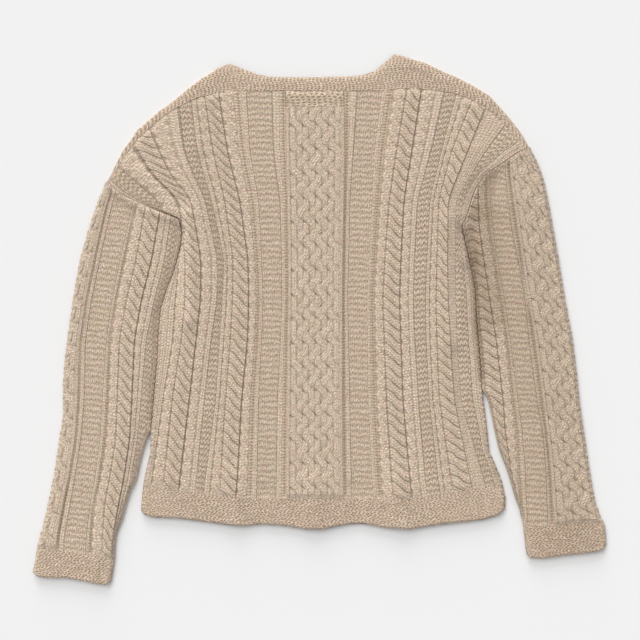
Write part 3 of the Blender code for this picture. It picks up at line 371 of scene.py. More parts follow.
def wool(name, colour):
    """Heathered wool: flecks of paler and browner fibre, and shade painted between the stitches and
    wherever a point carries it.
    """
    material = bpy.data.materials.new(name)
    material.use_nodes = True
    tree = material.node_tree
    shader = tree.nodes["Principled BSDF"]
    start = Socket(tree, None)
    place = start.node("TexCoord", output="Object")

    def noise(scale, detail=1.0, rough=0.5):
        return start.node("TexNoise", None, {"Vector": place, "Scale": scale, "Detail": detail,
                                             "Roughness": rough})

    def tint(factors):
        return tuple(channel * factor for channel, factor in zip(colour, factors)) + (1.0,)

    wale, row, painted_shade, purl = [start.node("Attribute", {"attribute_name": value}, output="Fac")
                               for value in STITCH_VALUES]
    wale, row = [along + (noise(fineness) - 0.5) * far
                 for along, (fineness, far) in ((wale, WALE_WANDER), (row, ROW_WANDER))]
    off = (wale.math("FRACT") * 2.0).distance(1.0)
    legs = (1.0 - (off * 2.0).distance(1.0)).between(0.0, 0.8) * 0.7 + 0.3
    plain = legs * ((row - off * 0.9).cycle() * 0.55 + 0.45)
    zigzag = ((row - off * 0.3).cycle() * 0.75 + 0.25) * legs
    fineness, low, high, uneven = HOLES
    moss_dots = (wale.cycle() * row.cycle()).between(1.0, 0.3)
    moss_dots = moss_dots * (noise(fineness).between(low, high) * uneven + (1.0 - uneven))
    stitch = purl.between(0.0, 1.0).blend(plain, zigzag)
    stitch = purl.between(1.0, 2.0).blend(stitch, moss_dots)
    cloth = noise(PATCHES).between(0.42, 0.58).mix(tint(ROSY), tint(GREENISH))
    for fineness, low, high, cover, fibre in FLECKS:
        cloth = (noise(fineness, *FLECK_DETAIL).between(low, high) * cover).mix(cloth, tint(fibre))
    # Painted shade: towards a deep brown between stitches and where a point carries painted shade
    painted_stitch_shade = (1.0 - stitch) * STITCH_SHADE
    cloth = (1.0 - (1.0 - painted_stitch_shade) * (1.0 - painted_shade)).mix(cloth, tint(PAINTED_SHADE_TINT))
    tree.links.new(cloth.output, shader.inputs["Base Color"])
    height = stitch * STITCH_BUMP + noise(*FUZZ_DETAIL) * FUZZ
    bump = start.node("Bump", None, {"Strength": BUMP, "Distance": MM, "Height": height})
    tree.links.new(bump.output, shader.inputs["Normal"])
    for socket, value in (("Roughness", 0.95), ("Metallic", 0.0), ("Sheen Weight", 0.15),
                          ("Sheen Roughness", 0.5), ("Specular IOR Level", 0.15)):
        shader.inputs[socket].default_value = value
    return material


def place_knit(piece, node):
    """Lets a knitted piece ride with the garment and stand for its solid."""
    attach(piece, "root")
    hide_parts(node)


FRONT_COLUMNS = 96
FRONT_STEP = 1.5 * ROW  # between the points of the under side, along the knitting
FRONT_TOP_STEP = 6.0 * ROW

plain_wool = wool("plain_wool", OATMEAL)
sides = [edge(BODY_HEIGHTS, side) for side in (-1, 1)]
across = [sides[0] + share * (sides[1] - sides[0]) for share in np.linspace(0.0, 1.0, FRONT_COLUMNS + 1)]


def plain_panel(name, low, high, top_step, under_step):
    """A panel of plain knitting under the back, from one side fold to the other."""
    cloth = Cloth()
    upper = plain_strips(cloth, across, BODY_HEIGHTS, low, high,
                         lambda x, y: np.full(len(x), FRONT_TOP), top_step)
    under = plain_strips(cloth, across, BODY_HEIGHTS, low, high, front_under, under_step)
    cloth.surface(upper)
    cloth.surface(under[::-1])
    cloth.close(upper, under)
    return cloth.finish(name, plain_wool)


piece = plain_panel("front_panel", above_hem_seam, front_top, FRONT_TOP_STEP, FRONT_STEP)
place_knit(piece, "front")

# ------------------------------------------------------------------ back panel
# The back is knitted in the same wool in one piece: a wide centre braid, then on each side a ladder,
# and two ropes between narrow twists. It lies on the front, a little puffed up, with soft creases at
# the armpits. Its middle and its two sides are separate meshes, which meet beside the ladders.

LOFT = 1.6              # how far the back puffs up off the front
LEAST_WALL = 0.8 * WALL     # thickness that the cloth keeps where it turns down at a fold
FOLD_HOLLOW = 9.0       # the hollow between the layers closes over this distance from a fold
NECKBAND_LOW = 301.5
STRIP_EASE = 9.0        # corners of the seam under the shoulder strips are eased over this distance
MIN_LANE = 1.6          # width that a squeezed lane keeps
LANE_EASE = 12.0        # corners of the lanes' limits are eased over this much of their height

# Where each panel of the back begins and ends, measured out from the centre line
PANEL_NAMES = ("height", "braid", "ladder_in", "ladder_out", "rope1_in", "rope1_out",
               "moss_in", "moss_out", "rope2_in", "rope2_out", "band")
PANELS = {1: table(PANEL_NAMES, (
    (316.0, 32.5, 52.0, 85.0, 118.0, 136.5, 169.5, 185.5, 213.0, 234.5, 291.0),
    (223.5, 33.5, 45.5, 72.5, 102.5, 122.0, 148.5, 161.5, 175.0, 196.0, 221.0),
    (157.5, 32.5, 40.5, 69.5, 92.5, 111.5, 130.0, 146.0, 157.5, 169.5, 180.0),
    (78.5, 31.0, 39.0, 65.5, 86.5, 107.5, 126.0, 142.0, 155.0, 168.5, 179.0),
    (25.5, 30.5, 37.5, 62.5, 84.0, 105.5, 124.5, 140.0, 154.0, 169.5, 180.0),
    (-27.0, 30.5, 39.0, 63.5, 86.0, 107.5, 126.5, 141.0, 155.0, 172.5, 181.5),
    (-106.5, 30.5, 40.5, 64.0, 89.0, 110.0, 131.5, 145.0, 158.5, 178.0, 187.0),
    (-212.0, 31.5, 42.5, 69.5, 95.5, 119.5, 140.5, 157.0, 174.0, 199.5, 218.0),
    (-251.5, 32.5, 43.0, 72.5, 99.5, 124.0, 146.0, 163.0, 181.5, 208.0, 226.5))), -1: table(PANEL_NAMES, (
        (316.0, 44.0, 62.5, 97.0, 135.5, 154.0, 172.5, 188.0, 250.0, 303.0, 382.0),
        (223.5, 43.0, 60.0, 91.5, 121.5, 140.5, 161.0, 177.5, 212.0, 240.0, 286.0),
        (190.0, 42.5, 56.0, 86.0, 113.5, 132.5, 152.0, 164.5, 196.0, 219.0, 252.0),
        (157.5, 41.5, 51.5, 80.0, 105.0, 124.5, 142.0, 150.0, 169.0, 184.5, 212.0),
        (78.5, 40.5, 49.5, 76.0, 94.0, 113.5, 125.5, 133.5, 156.0, 176.5, 185.0),
        (25.5, 40.5, 49.0, 74.0, 93.0, 114.0, 127.5, 134.0, 156.5, 176.5, 190.0),
        (-27.0, 41.5, 51.0, 76.0, 94.5, 117.0, 131.5, 142.0, 162.5, 181.5, 193.0),
        (-106.5, 42.0, 55.0, 80.0, 102.5, 123.5, 136.5, 151.0, 171.5, 193.5, 206.5),
        (-212.0, 43.0, 56.5, 82.0, 108.0, 130.0, 150.5, 161.5, 184.0, 204.5, 221.0),
        (-251.5, 43.5, 57.5, 83.0, 111.5, 132.5, 155.0, 165.5, 188.0, 210.5, 226.5)))}

# How each side of the back is filled, from the braid outwards
BACK_LANES = (
    # kind, stitches across, from, to, start and end as a share of the way between the two
    ("gutter", 1, "braid", "ladder_in", 0.00, 0.45),
    ("rib", 1, "braid", "ladder_in", 0.45, 1.00),
    ("ladder", 5, "ladder_in", "ladder_out", 0.00, 1.00),
    ("rib", 1, "ladder_out", "rope1_in", 0.00, 0.20),
    ("gutter", 1, "ladder_out", "rope1_in", 0.20, 0.45),
    ("twist", 2, "ladder_out", "rope1_in", 0.45, 1.00),
    ("rope", 6, "rope1_in", "rope1_out", 0.00, 1.00),
    ("twist", 2, "rope1_out", "moss_in", 0.00, 0.62),
    ("rib", 1, "rope1_out", "moss_in", 0.62, 1.00),
    ("seed", 3, "moss_in", "moss_out", 0.00, 1.00),
    ("rib", 1, "moss_out", "rope2_in", 0.00, 0.35),
    ("twist", 2, "moss_out", "rope2_in", 0.35, 1.00),
    ("rope", 6, "rope2_in", "rope2_out", 0.00, 1.00),
)
SIDE_LANES = {-1: (
    ("twist", 2, "rope2_out", "band", 0.00, 1.00),
    ("side", 4, "band", "edge", 0.00, 0.78),
    ("plain", 1, "band", "edge", 0.78, 1.00)), 1: (
        ("plain", 3, "rope2_out", "band", 0.00, 1.00),
        ("seed", 3, "band", "edge", 0.00, 0.54),
        ("rib", 1, "band", "edge", 0.54, 0.77),
        ("rib", 1, "band", "edge", 0.77, 1.00))}
CENTRE_LANES = 3        # of these on each side lie in the middle mesh
BRAID_STITCHES = 18

# Soft ridges (height above nought) and troughs (below) in the upper layer
CREASES = table(("x1", "y1", "x2", "y2", "half_width", "height"), (
    (-173.5, 138.0, -170.0, 0.0, 11.0, 5.0),      # lit fold down from the left armpit
    (-151.0, 210.0, -128.5, 25.0, 10.0, -2.2),    # the trough beside it
    (-128.5, 25.0, -152.0, -106.0, 10.0, -1.4),
    (168.0, 130.0, 175.0, -30.0, 13.0, 4.6),      # fold down from the right armpit
    (200.0, 222.0, 182.0, 150.0, 14.0, 3.0),      # slack under the right shoulder
    (188.0, 136.0, 193.0, 78.0, 9.0, 4.2),        # right armpit, which stands off the sleeve
    (230.0, 185.0, 208.0, 120.0, 9.0, -1.8),      # hollow of the right sleeve beside it
    (-232.0, 196.0, -190.0, 150.0, 10.0, 2.2),    # left shoulder blade
    (-200.0, 131.0, -246.0, 151.0, 5.0, 1.3),     # top of the left sleeve, along its seam
    (-246.0, 151.0, -282.0, 175.0, 5.0, 1.3),
    (-113.0, -268.0, -110.0, -205.0, 13.0, 3.0),  # flutes of the lower band
    (-7.0, -276.0, -9.0, -215.0, 15.0, 3.4),
    (109.0, -276.0, 106.0, -210.0, 15.0, 3.6),
    (49.0, -268.0, 45.0, -222.0, 9.0, -1.6),
    (-76.0, -270.0, -74.0, -225.0, 9.0, -1.4),
    (-237.0, -14.0, -226.0, -140.0, 10.0, 2.0),   # inner side of the left sleeve
    (-318.0, 80.0, -333.0, -60.0, 16.0, 1.2),
    (262.0, 150.0, 300.0, -100.0, 22.0, 1.6),     # right sleeve
    (300.0, -150.0, 330.0, -240.0, 20.0, 1.4),
))

# Places deep beside a fold or seam, where little light reaches, with two small dark spots, and
# places below nought that stand open to the light
SHADES = table(("x1", "y1", "x2", "y2", "half_width", "height"), (
    (197.0, 118.0, 203.0, 78.0, 7.0, 0.38),       # right armpit, down between the body and the sleeve
    (203.0, 78.0, 207.0, 10.0, 6.0, 0.45),
    (207.0, 0.0, 214.0, -75.0, 6.0, 0.55),
    (213.0, 130.0, 227.0, 0.0, 20.0, 0.34),
    (229.0, 186.0, 221.0, 138.0, 8.0, 0.26),
    (225.0, -150.0, 237.0, -202.0, 6.0, 0.55),    # inner side of the right sleeve
    (255.0, 120.0, 340.0, -320.0, 60.0, 0.16),    # the right sleeve, turned from the light
    (-189.0, 122.0, -201.0, 68.0, 4.0, 0.18),     # left sleeve beside the body
    (-201.0, 68.0, -217.0, 12.0, 4.0, 0.16),
    (-217.0, 12.0, -221.0, -110.0, 3.0, 0.20),
    (-173.0, 138.0, -170.0, 0.0, 14.0, -0.18),    # the lit fold beside it
    (-255.0, 120.0, -320.0, -320.0, 60.0, -0.05),
    (-224.0, -150.0, -250.0, -228.0, 8.0, -0.26),  # inner side of the left sleeve, open to the light
    (-252.0, -232.0, -266.0, -325.0, 8.0, -0.22),
    (-296.0, 150.0, -288.0, 170.0, 9.0, -0.14),   # its outer side at the top
    (-116.0, -276.0, -112.0, -264.0, 8.0, -0.20),  # flutes of the lower band
    (117.0, -282.0, 114.0, -268.0, 8.0, -0.22),
    (185.0, 132.0, 178.0, -50.0, 6.0, -0.16),     # lit fold down from the right armpit
    (285.0, -292.0, 372.0, -285.0, 22.0, 0.05),   # right cuff
    (-148.0, 190.0, -130.0, 60.0, 9.0, 0.05),     # trough beside that fold
    (-290.0, -318.0, -291.0, -347.0, 1.1, 0.45),  # seam of the left cuff
    (84.0, 329.5, 128.0, 331.0, 1.3, 0.35),       # seam on the right shoulder
    (218.0, 188.0, 206.0, 138.0, 7.0, 0.22),      # top of the right sleeve, under the shoulder
    (131.0, 305.0, 133.0, 302.0, 2.5, 0.60),      # the two spots
    (337.0, -210.0, 338.0, -211.0, 2.0, 0.70),
))
MOST_SHADE = 0.8


def sum_near(x, y, lines):
    """Sum of the lines' heights at a point, each falling off over its half width."""
    total = np.zeros(np.shape(x))
    for x1, y1, x2, y2, half_width, height in zip(*lines.values()):
        run = np.array((x2 - x1, y2 - y1))
        share = np.clip(((x - x1) * run[0] + (y - y1) * run[1]) / run.dot(run), 0.0, 1.0)
        off = np.hypot(x - x1 - share * run[0], y - y1 - share * run[1])
        total = total + height * np.exp(-(off / half_width) ** 2)
    return total


def puff(x, y):
    """How far the upper layer stands off the lower one at a point."""
    return np.maximum(LOFT + sum_near(x, y, CREASES), 0.0)


def shade(x, y):
    """How deep in shade the cloth lies at a point."""
    return np.minimum(sum_near(x, y, SHADES), MOST_SHADE)


def fold_round(off, rise):
    """Share of the full thickness at a distance in from a fold."""
    t = np.clip(off / (FOLD_RADIUS + rise), 0.0, 1.0)
    return np.sqrt(1.0 - (1.0 - t) ** 2)


def strip_line(x):
    """Lower edge of the shoulder strips and the neckband, with its corners."""
    left = over(x, SHOULDERS[-1]) - over(x, SHOULDERS[-1], "depth")
    right = over(x, SHOULDERS[1]) - over(x, SHOULDERS[1], "depth")
    return np.where(x < SHOULDERS[-1]["x"][-1], left,
                    np.where(x > SHOULDERS[1]["x"][0], right, NECKBAND_LOW))


def strip_low(x):
    """The same edge with its corners eased."""
    return evened(strip_line, x, STRIP_EASE)


def below_strip(x):
    return strip_low(x) - SEAM


def body_heights(x, y, pattern):
    """Heights of the top and the under side of the back at a point."""
    rise = puff(x, y)
    top = WALL + rise + pattern
    under = rise
    for side in (-1, 1):
        off = np.maximum(side * (edge(y, side) - x), 0.0)
        bend = body_fold(y, side)
        rounded = np.maximum(top * fold_round(off, rise), FOLD_EDGE)
        top = top + bend * (rounded - top)
        under = under * (1.0 - bend * (1.0 - smooth(off / FOLD_HOLLOW)))
    under = np.minimum(under, np.maximum(top - LEAST_WALL, 0.0))
    return BACK_UNDER + top, BACK_UNDER + under


STITCH = 0.8            # how far a stitch stands out of its strand
STITCH_LEAN = 0.8       # rows that the legs of a stitch rise from its middle to its sides


def wave(turns):
    """Nought to one and back, one at whole numbers."""
    return 0.5 + 0.5 * np.cos(2 * np.pi * turns)


def off_middle(wale):
    """Nought in the middle of a stitch and one at both its sides."""
    return np.abs(2.0 * (wale % 1.0) - 1.0)


def knit_stitch(wale, row):
    """Plain stitches, each a V of two legs, from nought to one."""
    off = off_middle(wale)
    return (1.0 - np.abs(2.0 * off - 1.0)) * wave(row - STITCH_LEAN * off) ** 0.7


def dome(off, width=1.0):
    """Round top of a strand, one in its middle and nought half its width away."""
    return np.sqrt(np.maximum(0.0, 1.0 - (2.0 * off / width) ** 2))


def valley(top):
    """One between two strands, and nought on their tops."""
    return (1.0 - top) ** 1.6


def strand(height, top, wale, row, relief=STITCH):
    """Height, stitch and purl of a strand with a round top."""
    return height + relief * (knit_stitch(wale, row) - 0.5) * top, wale, row, 0.0


GROOVE, NOTCH = 0.75, 1.1   # half width of the line beside a cable, and what a notch adds


class Lane:
    """Points of one lane of the knitting, each with its share of the way across, its length along the
    lane, its y and the width there. A lane of the braid shows the strands from first to last."""

    def __init__(self, share, along, y, width, wales, strands=None):
        self.share, self.along, self.y, self.width, self.strands = share, along, y, width, strands
        self.wale, self.row = share * wales, along / ROW
        self.beads = wave(self.row)     # the loops seen down in a hollow
        self.inside = 1.0 - np.abs(2.0 * share - 1.0) ** 6

    def groove(self, notch):
        """One along both edges, where a cable sinks into the cloth, and wider at a notch."""
        off = np.minimum(self.share, 1.0 - self.share) * self.width
        return np.exp(-(off / (GROOVE + NOTCH * notch)) ** 2)


# Each pattern gives the height, painted shade, stitch and purl of a lane's points
ROPE, BRAID, TWIST, RIB, LADDER, MOSS = 3.2, 3.3, 2.0, 1.1, 0.38, 1.1    # how far they stand up
ROPE_PITCH = 15.3
ROPE_TURN = 1.15        # turns that a rope's strands lie over from one side of it to the other
ROPE_BOW = 0.07         # turns that a strand bows by on its way
ROPE_RUN = (0.67, 0.74)     # how a strand's length grows along the rope and across it
ROPE_OPEN = (0.6, 0.33)     # share of the way across where strands part most, and half its width
ROPE_DARK = 0.07        # shade painted over the whole of a rope


def rope(lane):
    """Two strands that wind round each other, always the same way."""
    share, along = lane.share, lane.along
    turn = (along / ROPE_PITCH + ROPE_TURN * (share - 0.5 - ROPE_BOW * np.sin(2 * np.pi * share))) % 1.0
    top = np.sin(np.pi * turn) ** 0.75
    side = lane.groove((1.0 - top) ** 2)
    run = (ROPE_RUN[0] * along - ROPE_RUN[1] * share * lane.width) / ROW
    parted = np.exp(-((share - ROPE_OPEN[0]) / ROPE_OPEN[1]) ** 2)
    low = (1.0 - top) * (0.2 + 0.25 * parted)
    height = ROPE * (1.0 - low) * (1.0 - (0.75 - 0.4 * share) * side)
    height, *stitch = strand(height, top, 1.5 * turn, run, 0.3 * STITCH)
    # Shade painted where the strands part, in the grooves beside the rope, and lightly over all of it
    painted_shade = (0.08 + 0.46 * parted) * (1.0 - top)
    edges = side * (1.3 - share) * (0.1 + 0.55 * lane.beads) * (1.0 - 0.5 * top)
    return height, np.maximum(painted_shade, edges) + ROPE_DARK, *stitch


TWIST_PITCH = 15.3
TWIST_STRAND = 0.66     # width of a strand, as a share of the twist's
TWIST_SWING = 0.2       # how far its middle swings to each side


def twist(lane):
    """Two single stitches that cross and part again."""
    part = (lane.along / TWIST_PITCH) % 1.0
    crossing = np.sin(np.pi * part)
    centre = TWIST_SWING * np.cos(np.pi * part)
    left, right = lane.share - 0.5 - centre, lane.share - 0.5 + centre
    upper = dome(left, TWIST_STRAND)
    lower = dome(right, TWIST_STRAND) * (1.0 - 0.5 * crossing)
    top = np.maximum(upper, lower)
    wale = np.where(upper > lower, left, right) / TWIST_STRAND + 0.5
    height, *stitch = strand(TWIST * top, top, wale, lane.row)
    # Shade painted in the grooves beside it and between its strands
    edges = lane.groove(0.3 * crossing) * (0.25 + 0.4 * lane.beads)
    return height, np.maximum(0.3 * valley(top), edges), *stitch


BRAID_PITCH = 31.8
BRAID_SHIFT = -0.5      # where the braid begins, in half repeats
BRAID_STRANDS = 8
BRAID_STRAND = 1.05     # width of a strand lying alone, as a share of its place
SLIT = (0.19, 0.26)     # half the width and height of a slit where strands cross, as shares of a
                        # strand and of half a repeat


def plait(across, along):
    """Eight strands: pairs cross one way in one half repeat, then the other way.

    A strand without a partner runs straight, and so do the single stitches at both edges.
    """
    half = along / (BRAID_PITCH / 2) + BRAID_SHIFT
    odd = np.floor(half) % 2
    part = half - np.floor(half)
    crossing, way = np.sin(np.pi * part), 2.0 * odd - 1.0
    lean = (smooth(part) - 0.5) * way
    pair = np.floor((across - odd) / 2) * 2 + odd
    off = across - pair - 1.0
    upper = dome(off - lean, BRAID_STRAND + 0.75 * crossing)
    lower = dome(off + lean, BRAID_STRAND - 0.25 * crossing) * (1.0 - 0.5 * crossing)
    top = np.maximum(upper, lower)
    off = np.where(upper > lower, (off - lean) / (1.0 + 0.4 * crossing), off + lean)
    slope = np.where(upper > lower, 1.0, -1.0) * way * crossing
    edges = (across < 0) | (across > BRAID_STRANDS)
    alone = (pair < 0) | (pair > BRAID_STRANDS - 2) | edges
    middle = np.where(pair < 0, 0.5, BRAID_STRANDS - 0.5)
    middle = np.where(edges, np.where(across < 0, -0.25, BRAID_STRANDS + 0.25), middle)
    off = np.where(alone, (across - middle) / np.where(edges, 0.5, 1.0), off)
    top = np.where(alone, dome(off, BRAID_STRAND), top)
    row = along / (BRAID_PITCH / 8) - np.where(alone, 0.0, slope) * off * 1.2
    wale = np.where(edges, off + 0.5, 1.5 * off)
    height, *stitch = strand(BRAID * (0.6 + 0.4 * top), top, wale, row, 0.45 * STITCH)
    # Shade painted into the slits where strands cross
    beside = (across - pair + 1.0) % 2.0 - 1.0 - (1.8 - 0.7 * odd) * (part - 0.5) * way
    slit = (1.3 - 0.6 * odd) * np.exp(-(beside / SLIT[0]) ** 2 - ((part - 0.5) / SLIT[1]) ** 2)
    return height, np.where(alone, 0.3 * (1.0 - top) ** 3, 0.03 + 0.57 * slit), *stitch


MOSS_PITCH = 5.0


def moss(wale, along, uneven):
    """Moss stitch: one on its bumps and nought in the holes between them, and its stitch."""
    row = along / (MOSS_PITCH / 2)
    wale = wale + 0.5 * (np.round(row) % 2) + uneven * np.sin(2.4 * np.round(row))
    return 1.0 - np.clip(1.4 * wave(wale) * wave(row) - 0.2, 0.0, 1.0), wale, row


BRAID_TOP = 285.0       # moss stitch lies above it
BRAID_BLEND = 9.0       # height over which one changes into the other


def braid(lane):
    """The plait, and moss stitch from its top to the neckband."""
    first, last = lane.strands
    plaited = plait(first + lane.share * (last - first), lane.along)
    bumps, *stitch = moss(0.6 * lane.wale, 0.7 * lane.along, 0.3)
    above = BRAID * (0.3 + 0.3 * bumps), 0.3 + 0.3 * (1.0 - bumps), *stitch, 2.0
    begun = smooth((BRAID_TOP - lane.y) / BRAID_BLEND)
    blend = tuple(b + begun * (a - b) for a, b in zip(plaited[:2], above[:2]))
    return blend + tuple(np.where(begun > 0.5, a, b) for a, b in zip(plaited[2:], above[2:]))


def rib(lane):
    """Single columns of plain stitches, each a ridge."""
    top = dome(lane.wale % 1.0 - 0.5, 1.1)
    height, *stitch = strand(RIB * top, top, lane.wale, lane.row)
    return height, (0.2 + 0.3 * lane.beads) * valley(top), *stitch


def plain(lane):
    height, *stitch = strand(0.5 * RIB, 0.85, lane.wale, lane.row)
    return height, 0.1, *stitch


GUTTER_DEPTH = 0.9
GUTTER_LINE = 1.4       # half width of the line of darkest painted shade along its middle


def gutter(lane):
    """A purl column that sinks between its neighbours, with shade painted darkest in a line along its
    middle.
    """
    middle = np.exp(-((lane.share - 0.5) * lane.width / GUTTER_LINE) ** 2)
    painted_shade = lane.inside * (0.2 + middle * (0.35 + 0.3 * lane.beads))
    return -GUTTER_DEPTH * lane.inside, painted_shade, np.full(len(lane.share), 0.25), lane.row, 0.0


RIDGE_PITCH = 7.6


def ladder(lane):
    """Rows of purl, each a low ridge across the lane."""
    row = lane.along / RIDGE_PITCH
    ridge = wave(row - 0.35 * off_middle(lane.wale))
    return lane.inside * LADDER * (ridge - 0.3), 0.14 + 0.12 * (1.0 - ridge), lane.wale, row, 1.0


def moss_band(lane):
    """Moss stitch of a band, less even in the shoulder strips than at the lower edge and wrists."""
    bumps, wale, row = moss(lane.wale, lane.along, 0.12 + 0.2 * (lane.y > 0.0))
    return lane.inside * MOSS * bumps, 0.17 + 0.52 * (1.0 - bumps), wale, row, 2.0


SEED_PITCH = 7.4


def seed(lane):
    """Moss stitch of a narrow lane among the cables."""
    off = off_middle(lane.wale)
    row = lane.along / SEED_PITCH - 0.2 * off
    bumps = wave(row - 0.3 * off)
    return lane.inside * MOSS * bumps, 0.06 + 0.46 * (1.0 - bumps) ** 2, lane.wale, row, 1.0


FLANK_CHANGE = (95.0, 130.0)    # heights where the ribs end and the moss stitch begins
FLANK_RIBS = 2


def flank(lane):
    """Moss stitch beside the left armhole, and ribs below it."""
    start, end = FLANK_CHANGE
    upper = smooth((lane.y - start) / (end - start))
    ribs = rib(Lane(lane.share, lane.along, lane.y, lane.width, FLANK_RIBS))
    return tuple(b + upper * (a - b) for a, b in zip(seed(lane), ribs))


PATTERNS = {"rope": rope, "twist": twist, "braid": braid, "rib": rib, "plain": plain, "gutter": gutter,
            "ladder": ladder, "moss": moss_band, "seed": seed, "side": flank}


DRIFT = 0.5


def drift(x, y):
    """How far the rows of hand knitting wander up or down at a point, in waves that wander too."""
    return DRIFT * (np.sin(x / 4.1 + 1.7 * np.sin(y / 6.3)) + np.sin(y / 3.7 + 2.1 * np.sin(x / 5.2)))


POINTS_ACROSS = 4       # lines of points to a stitch
POINTS_UP = 4
LANE_FADE = 1.2         # a pattern fades out over this much of its lane's last width
LANE_END = 7.0          # and over this length at its two ends, to this share of its height
END_RELIEF = 0.3
ROLL_SHADE = 0.3         # how much shade is painted on a band where its rolled edge turns down


def knit(cloth, lanes, heights, low, high, level):
    """Columns of stitches up a piece, with several lines of points to each stitch."""
    strips, step = [], ROW / POINTS_UP
    for number, (kind, wales, left, right, strands) in enumerate(lanes):
        last = number == len(lanes) - 1
        lines = []
        for line in range(POINTS_ACROSS * wales + last):
            share = line / (POINTS_ACROSS * wales)
            px, py, ps = cut(left + share * (right - left), heights, low, high)
            along = spaced(ps[-1], step)
            x, y = np.interp(along, ps, px), np.interp(along, ps, py)
            width = np.interp(y, heights, right - left)
            ends = smooth(np.minimum(along, ps[-1] - along) / LANE_END)
            lines.append(np.column_stack((x, y, along, np.full(len(x), share), width, ends)))
        x, y, along, share, width, ends = np.concatenate(lines).T
        height, painted_shade, *stitch = PATTERNS[kind](Lane(share, along + drift(x, y), y, width, wales, strands))
        full = smooth((width - MIN_LANE) / LANE_FADE)
        if kind != "moss":
            full = full * (END_RELIEF + (1.0 - END_RELIEF) * ends)
        z = level(x, y, height * full)[0]
        # Painted shade of the pattern, with the painted shade and painted highlights of SHADES laid over it
        painted_shade = 1.0 - (1.0 - painted_shade * full) * (1.0 - shade(x, y))
        # On a band, shade is painted where its rolled edge turns down, darker the lower the cloth lies
        if kind == "moss":
            painted_roll_shade = ROLL_SHADE * np.clip(1.0 - (z - BACK_UNDER) / WALL, 0.0, 1.0)
            painted_shade = 1.0 - (1.0 - painted_shade) * (1.0 - painted_roll_shade)
        wale, row, purl = stitch
        points = cloth.add(x, y, z, wale, row, painted_shade, purl)
        splits = np.cumsum([len(line) for line in lines])[:-1]
        strips += zip(np.split(points, splits), np.split(along, splits))
    return strips


UNDER_STEP = 24.0       # between the points of an under side, along the knitting
UNDER_EVERY = 12        # columns of the raised face to each line of the under side


def under_face(cloth, lanes, heights, low, high, level):
    """The plain under side of a piece, on a few of its lines."""
    lines = []
    for kind, wales, left, right, strands in lanes:
        count = max(1, round(POINTS_ACROSS * wales / UNDER_EVERY))
        lines += [left + step / count * (right - left) for step in range(count)]
    lines.append(lanes[-1][3])
    return plain_strips(cloth, lines, heights, low, high, lambda x, y: level(x, y, 0.0)[1], UNDER_STEP)


def side_lanes(side):
    """Lanes of one half of the back, from the braid outwards, as distances from the centre."""
    limit = side * edge(BODY_HEIGHTS, side)
    bounds = {name: eased(BODY_HEIGHTS, PANELS[side], LANE_EASE, name, "height")
              for name in PANEL_NAMES[1:]}
    bounds["edge"] = limit
    slope = np.sqrt(1.0 + np.gradient(limit, 1.0) ** 2)
    for name in PANEL_NAMES[:0:-1]:
        limit = limit - MIN_LANE * slope
        bounds[name] = limit = np.minimum(bounds[name], limit)
    lanes = []
    for kind, wales, a, b, start, end in BACK_LANES + SIDE_LANES[side]:
        near, far = [bounds[a] + share * (bounds[b] - bounds[a]) for share in (start, end)]
        lanes.append((kind, wales, *((near, far) if side > 0 else (-far, -near)), None))
    return lanes if side > 0 else lanes[::-1]


def make_knit(name, lanes, heights, low, high, level, material):
    """A knitted piece with its raised outer face and its plain under side."""
    cloth = Cloth()
    upper = knit(cloth, lanes, heights, low, high, level)
    under = under_face(cloth, lanes, heights, low, high, level)
    cloth.surface(upper)
    cloth.surface(under[::-1])
    cloth.close(upper, under)
    return cloth.finish(name, material)


cable_wool = wool("cable_wool", OATMEAL)
left_lanes, right_lanes = side_lanes(-1), side_lanes(1)
centre = [*left_lanes[-CENTRE_LANES:],
          ("braid", BRAID_STITCHES, left_lanes[-1][3], right_lanes[0][2], (-0.5, BRAID_STRANDS + 0.5)),
          *right_lanes[:CENTRE_LANES]]
for name, lanes, flat, area in (("back_left", left_lanes[:-CENTRE_LANES], (0.215, 0.550), 0.077),
                                ("back_centre", centre, (0.155, 0.545), 0.080),
                                ("back_right", right_lanes[CENTRE_LANES:], (0.215, 0.550), 0.080)):
    piece = make_knit(name, lanes, BODY_HEIGHTS, above_hem_seam, below_strip, body_heights, cable_wool)
    place_knit(piece, "back")

# ------------------------------------------------------------------ lower bands
# The lower edge of the back and of the front is a band of moss stitch in the same wool, cast on at
# the edge and a little browner. It doesn't draw in, so it lies in shallow flutes.

OATMEAL_BAND = (0.76, 0.62, 0.50)
HEM_EDGE = table(("x", "y"), (
    (-234.5, -255.5), (-223.5, -260.5), (-187.0, -262.0), (-155.0, -266.0), (-123.5, -270.0),
    (-102.5, -272.5), (-76.0, -270.0), (-49.5, -271.5), (-18.0, -276.5), (3.5, -276.5),
    (35.0, -270.0), (56.0, -268.5), (88.0, -275.0), (119.5, -276.5), (151.0, -271.5),
    (183.0, -267.5), (214.5, -264.0), (235.5, -258.0), (244.5, -250.0)))
HEM_STITCHES = 96
HEM_ROLL = 3.0          # the edge is rounded over this distance
ROLL_EDGE = 0.45        # share of the thickness at the very edge
FRONT_HEM_RISE = 1.5    # the front's band stops this far short of the back's
FRONT_HEM_STEP = 6.0

moss_wool = wool("moss_wool", OATMEAL_BAND)


def rolled(off):
    """Share of the thickness near a cast-on edge."""
    return ROLL_EDGE + (1.0 - ROLL_EDGE) * np.sqrt(1.0 - (1.0 - np.clip(off / HEM_ROLL, 0.0, 1.0)) ** 2)


def hem_heights(x, y, pattern):
    """Heights of the top and the under side of the back's lower band at a point."""
    top, under = body_heights(x, y, pattern)
    return BACK_UNDER + (top - BACK_UNDER) * rolled(y - over(x, HEM_EDGE)), under


def below_hem_seam(x):
    return hem_seam(x) - SEAM


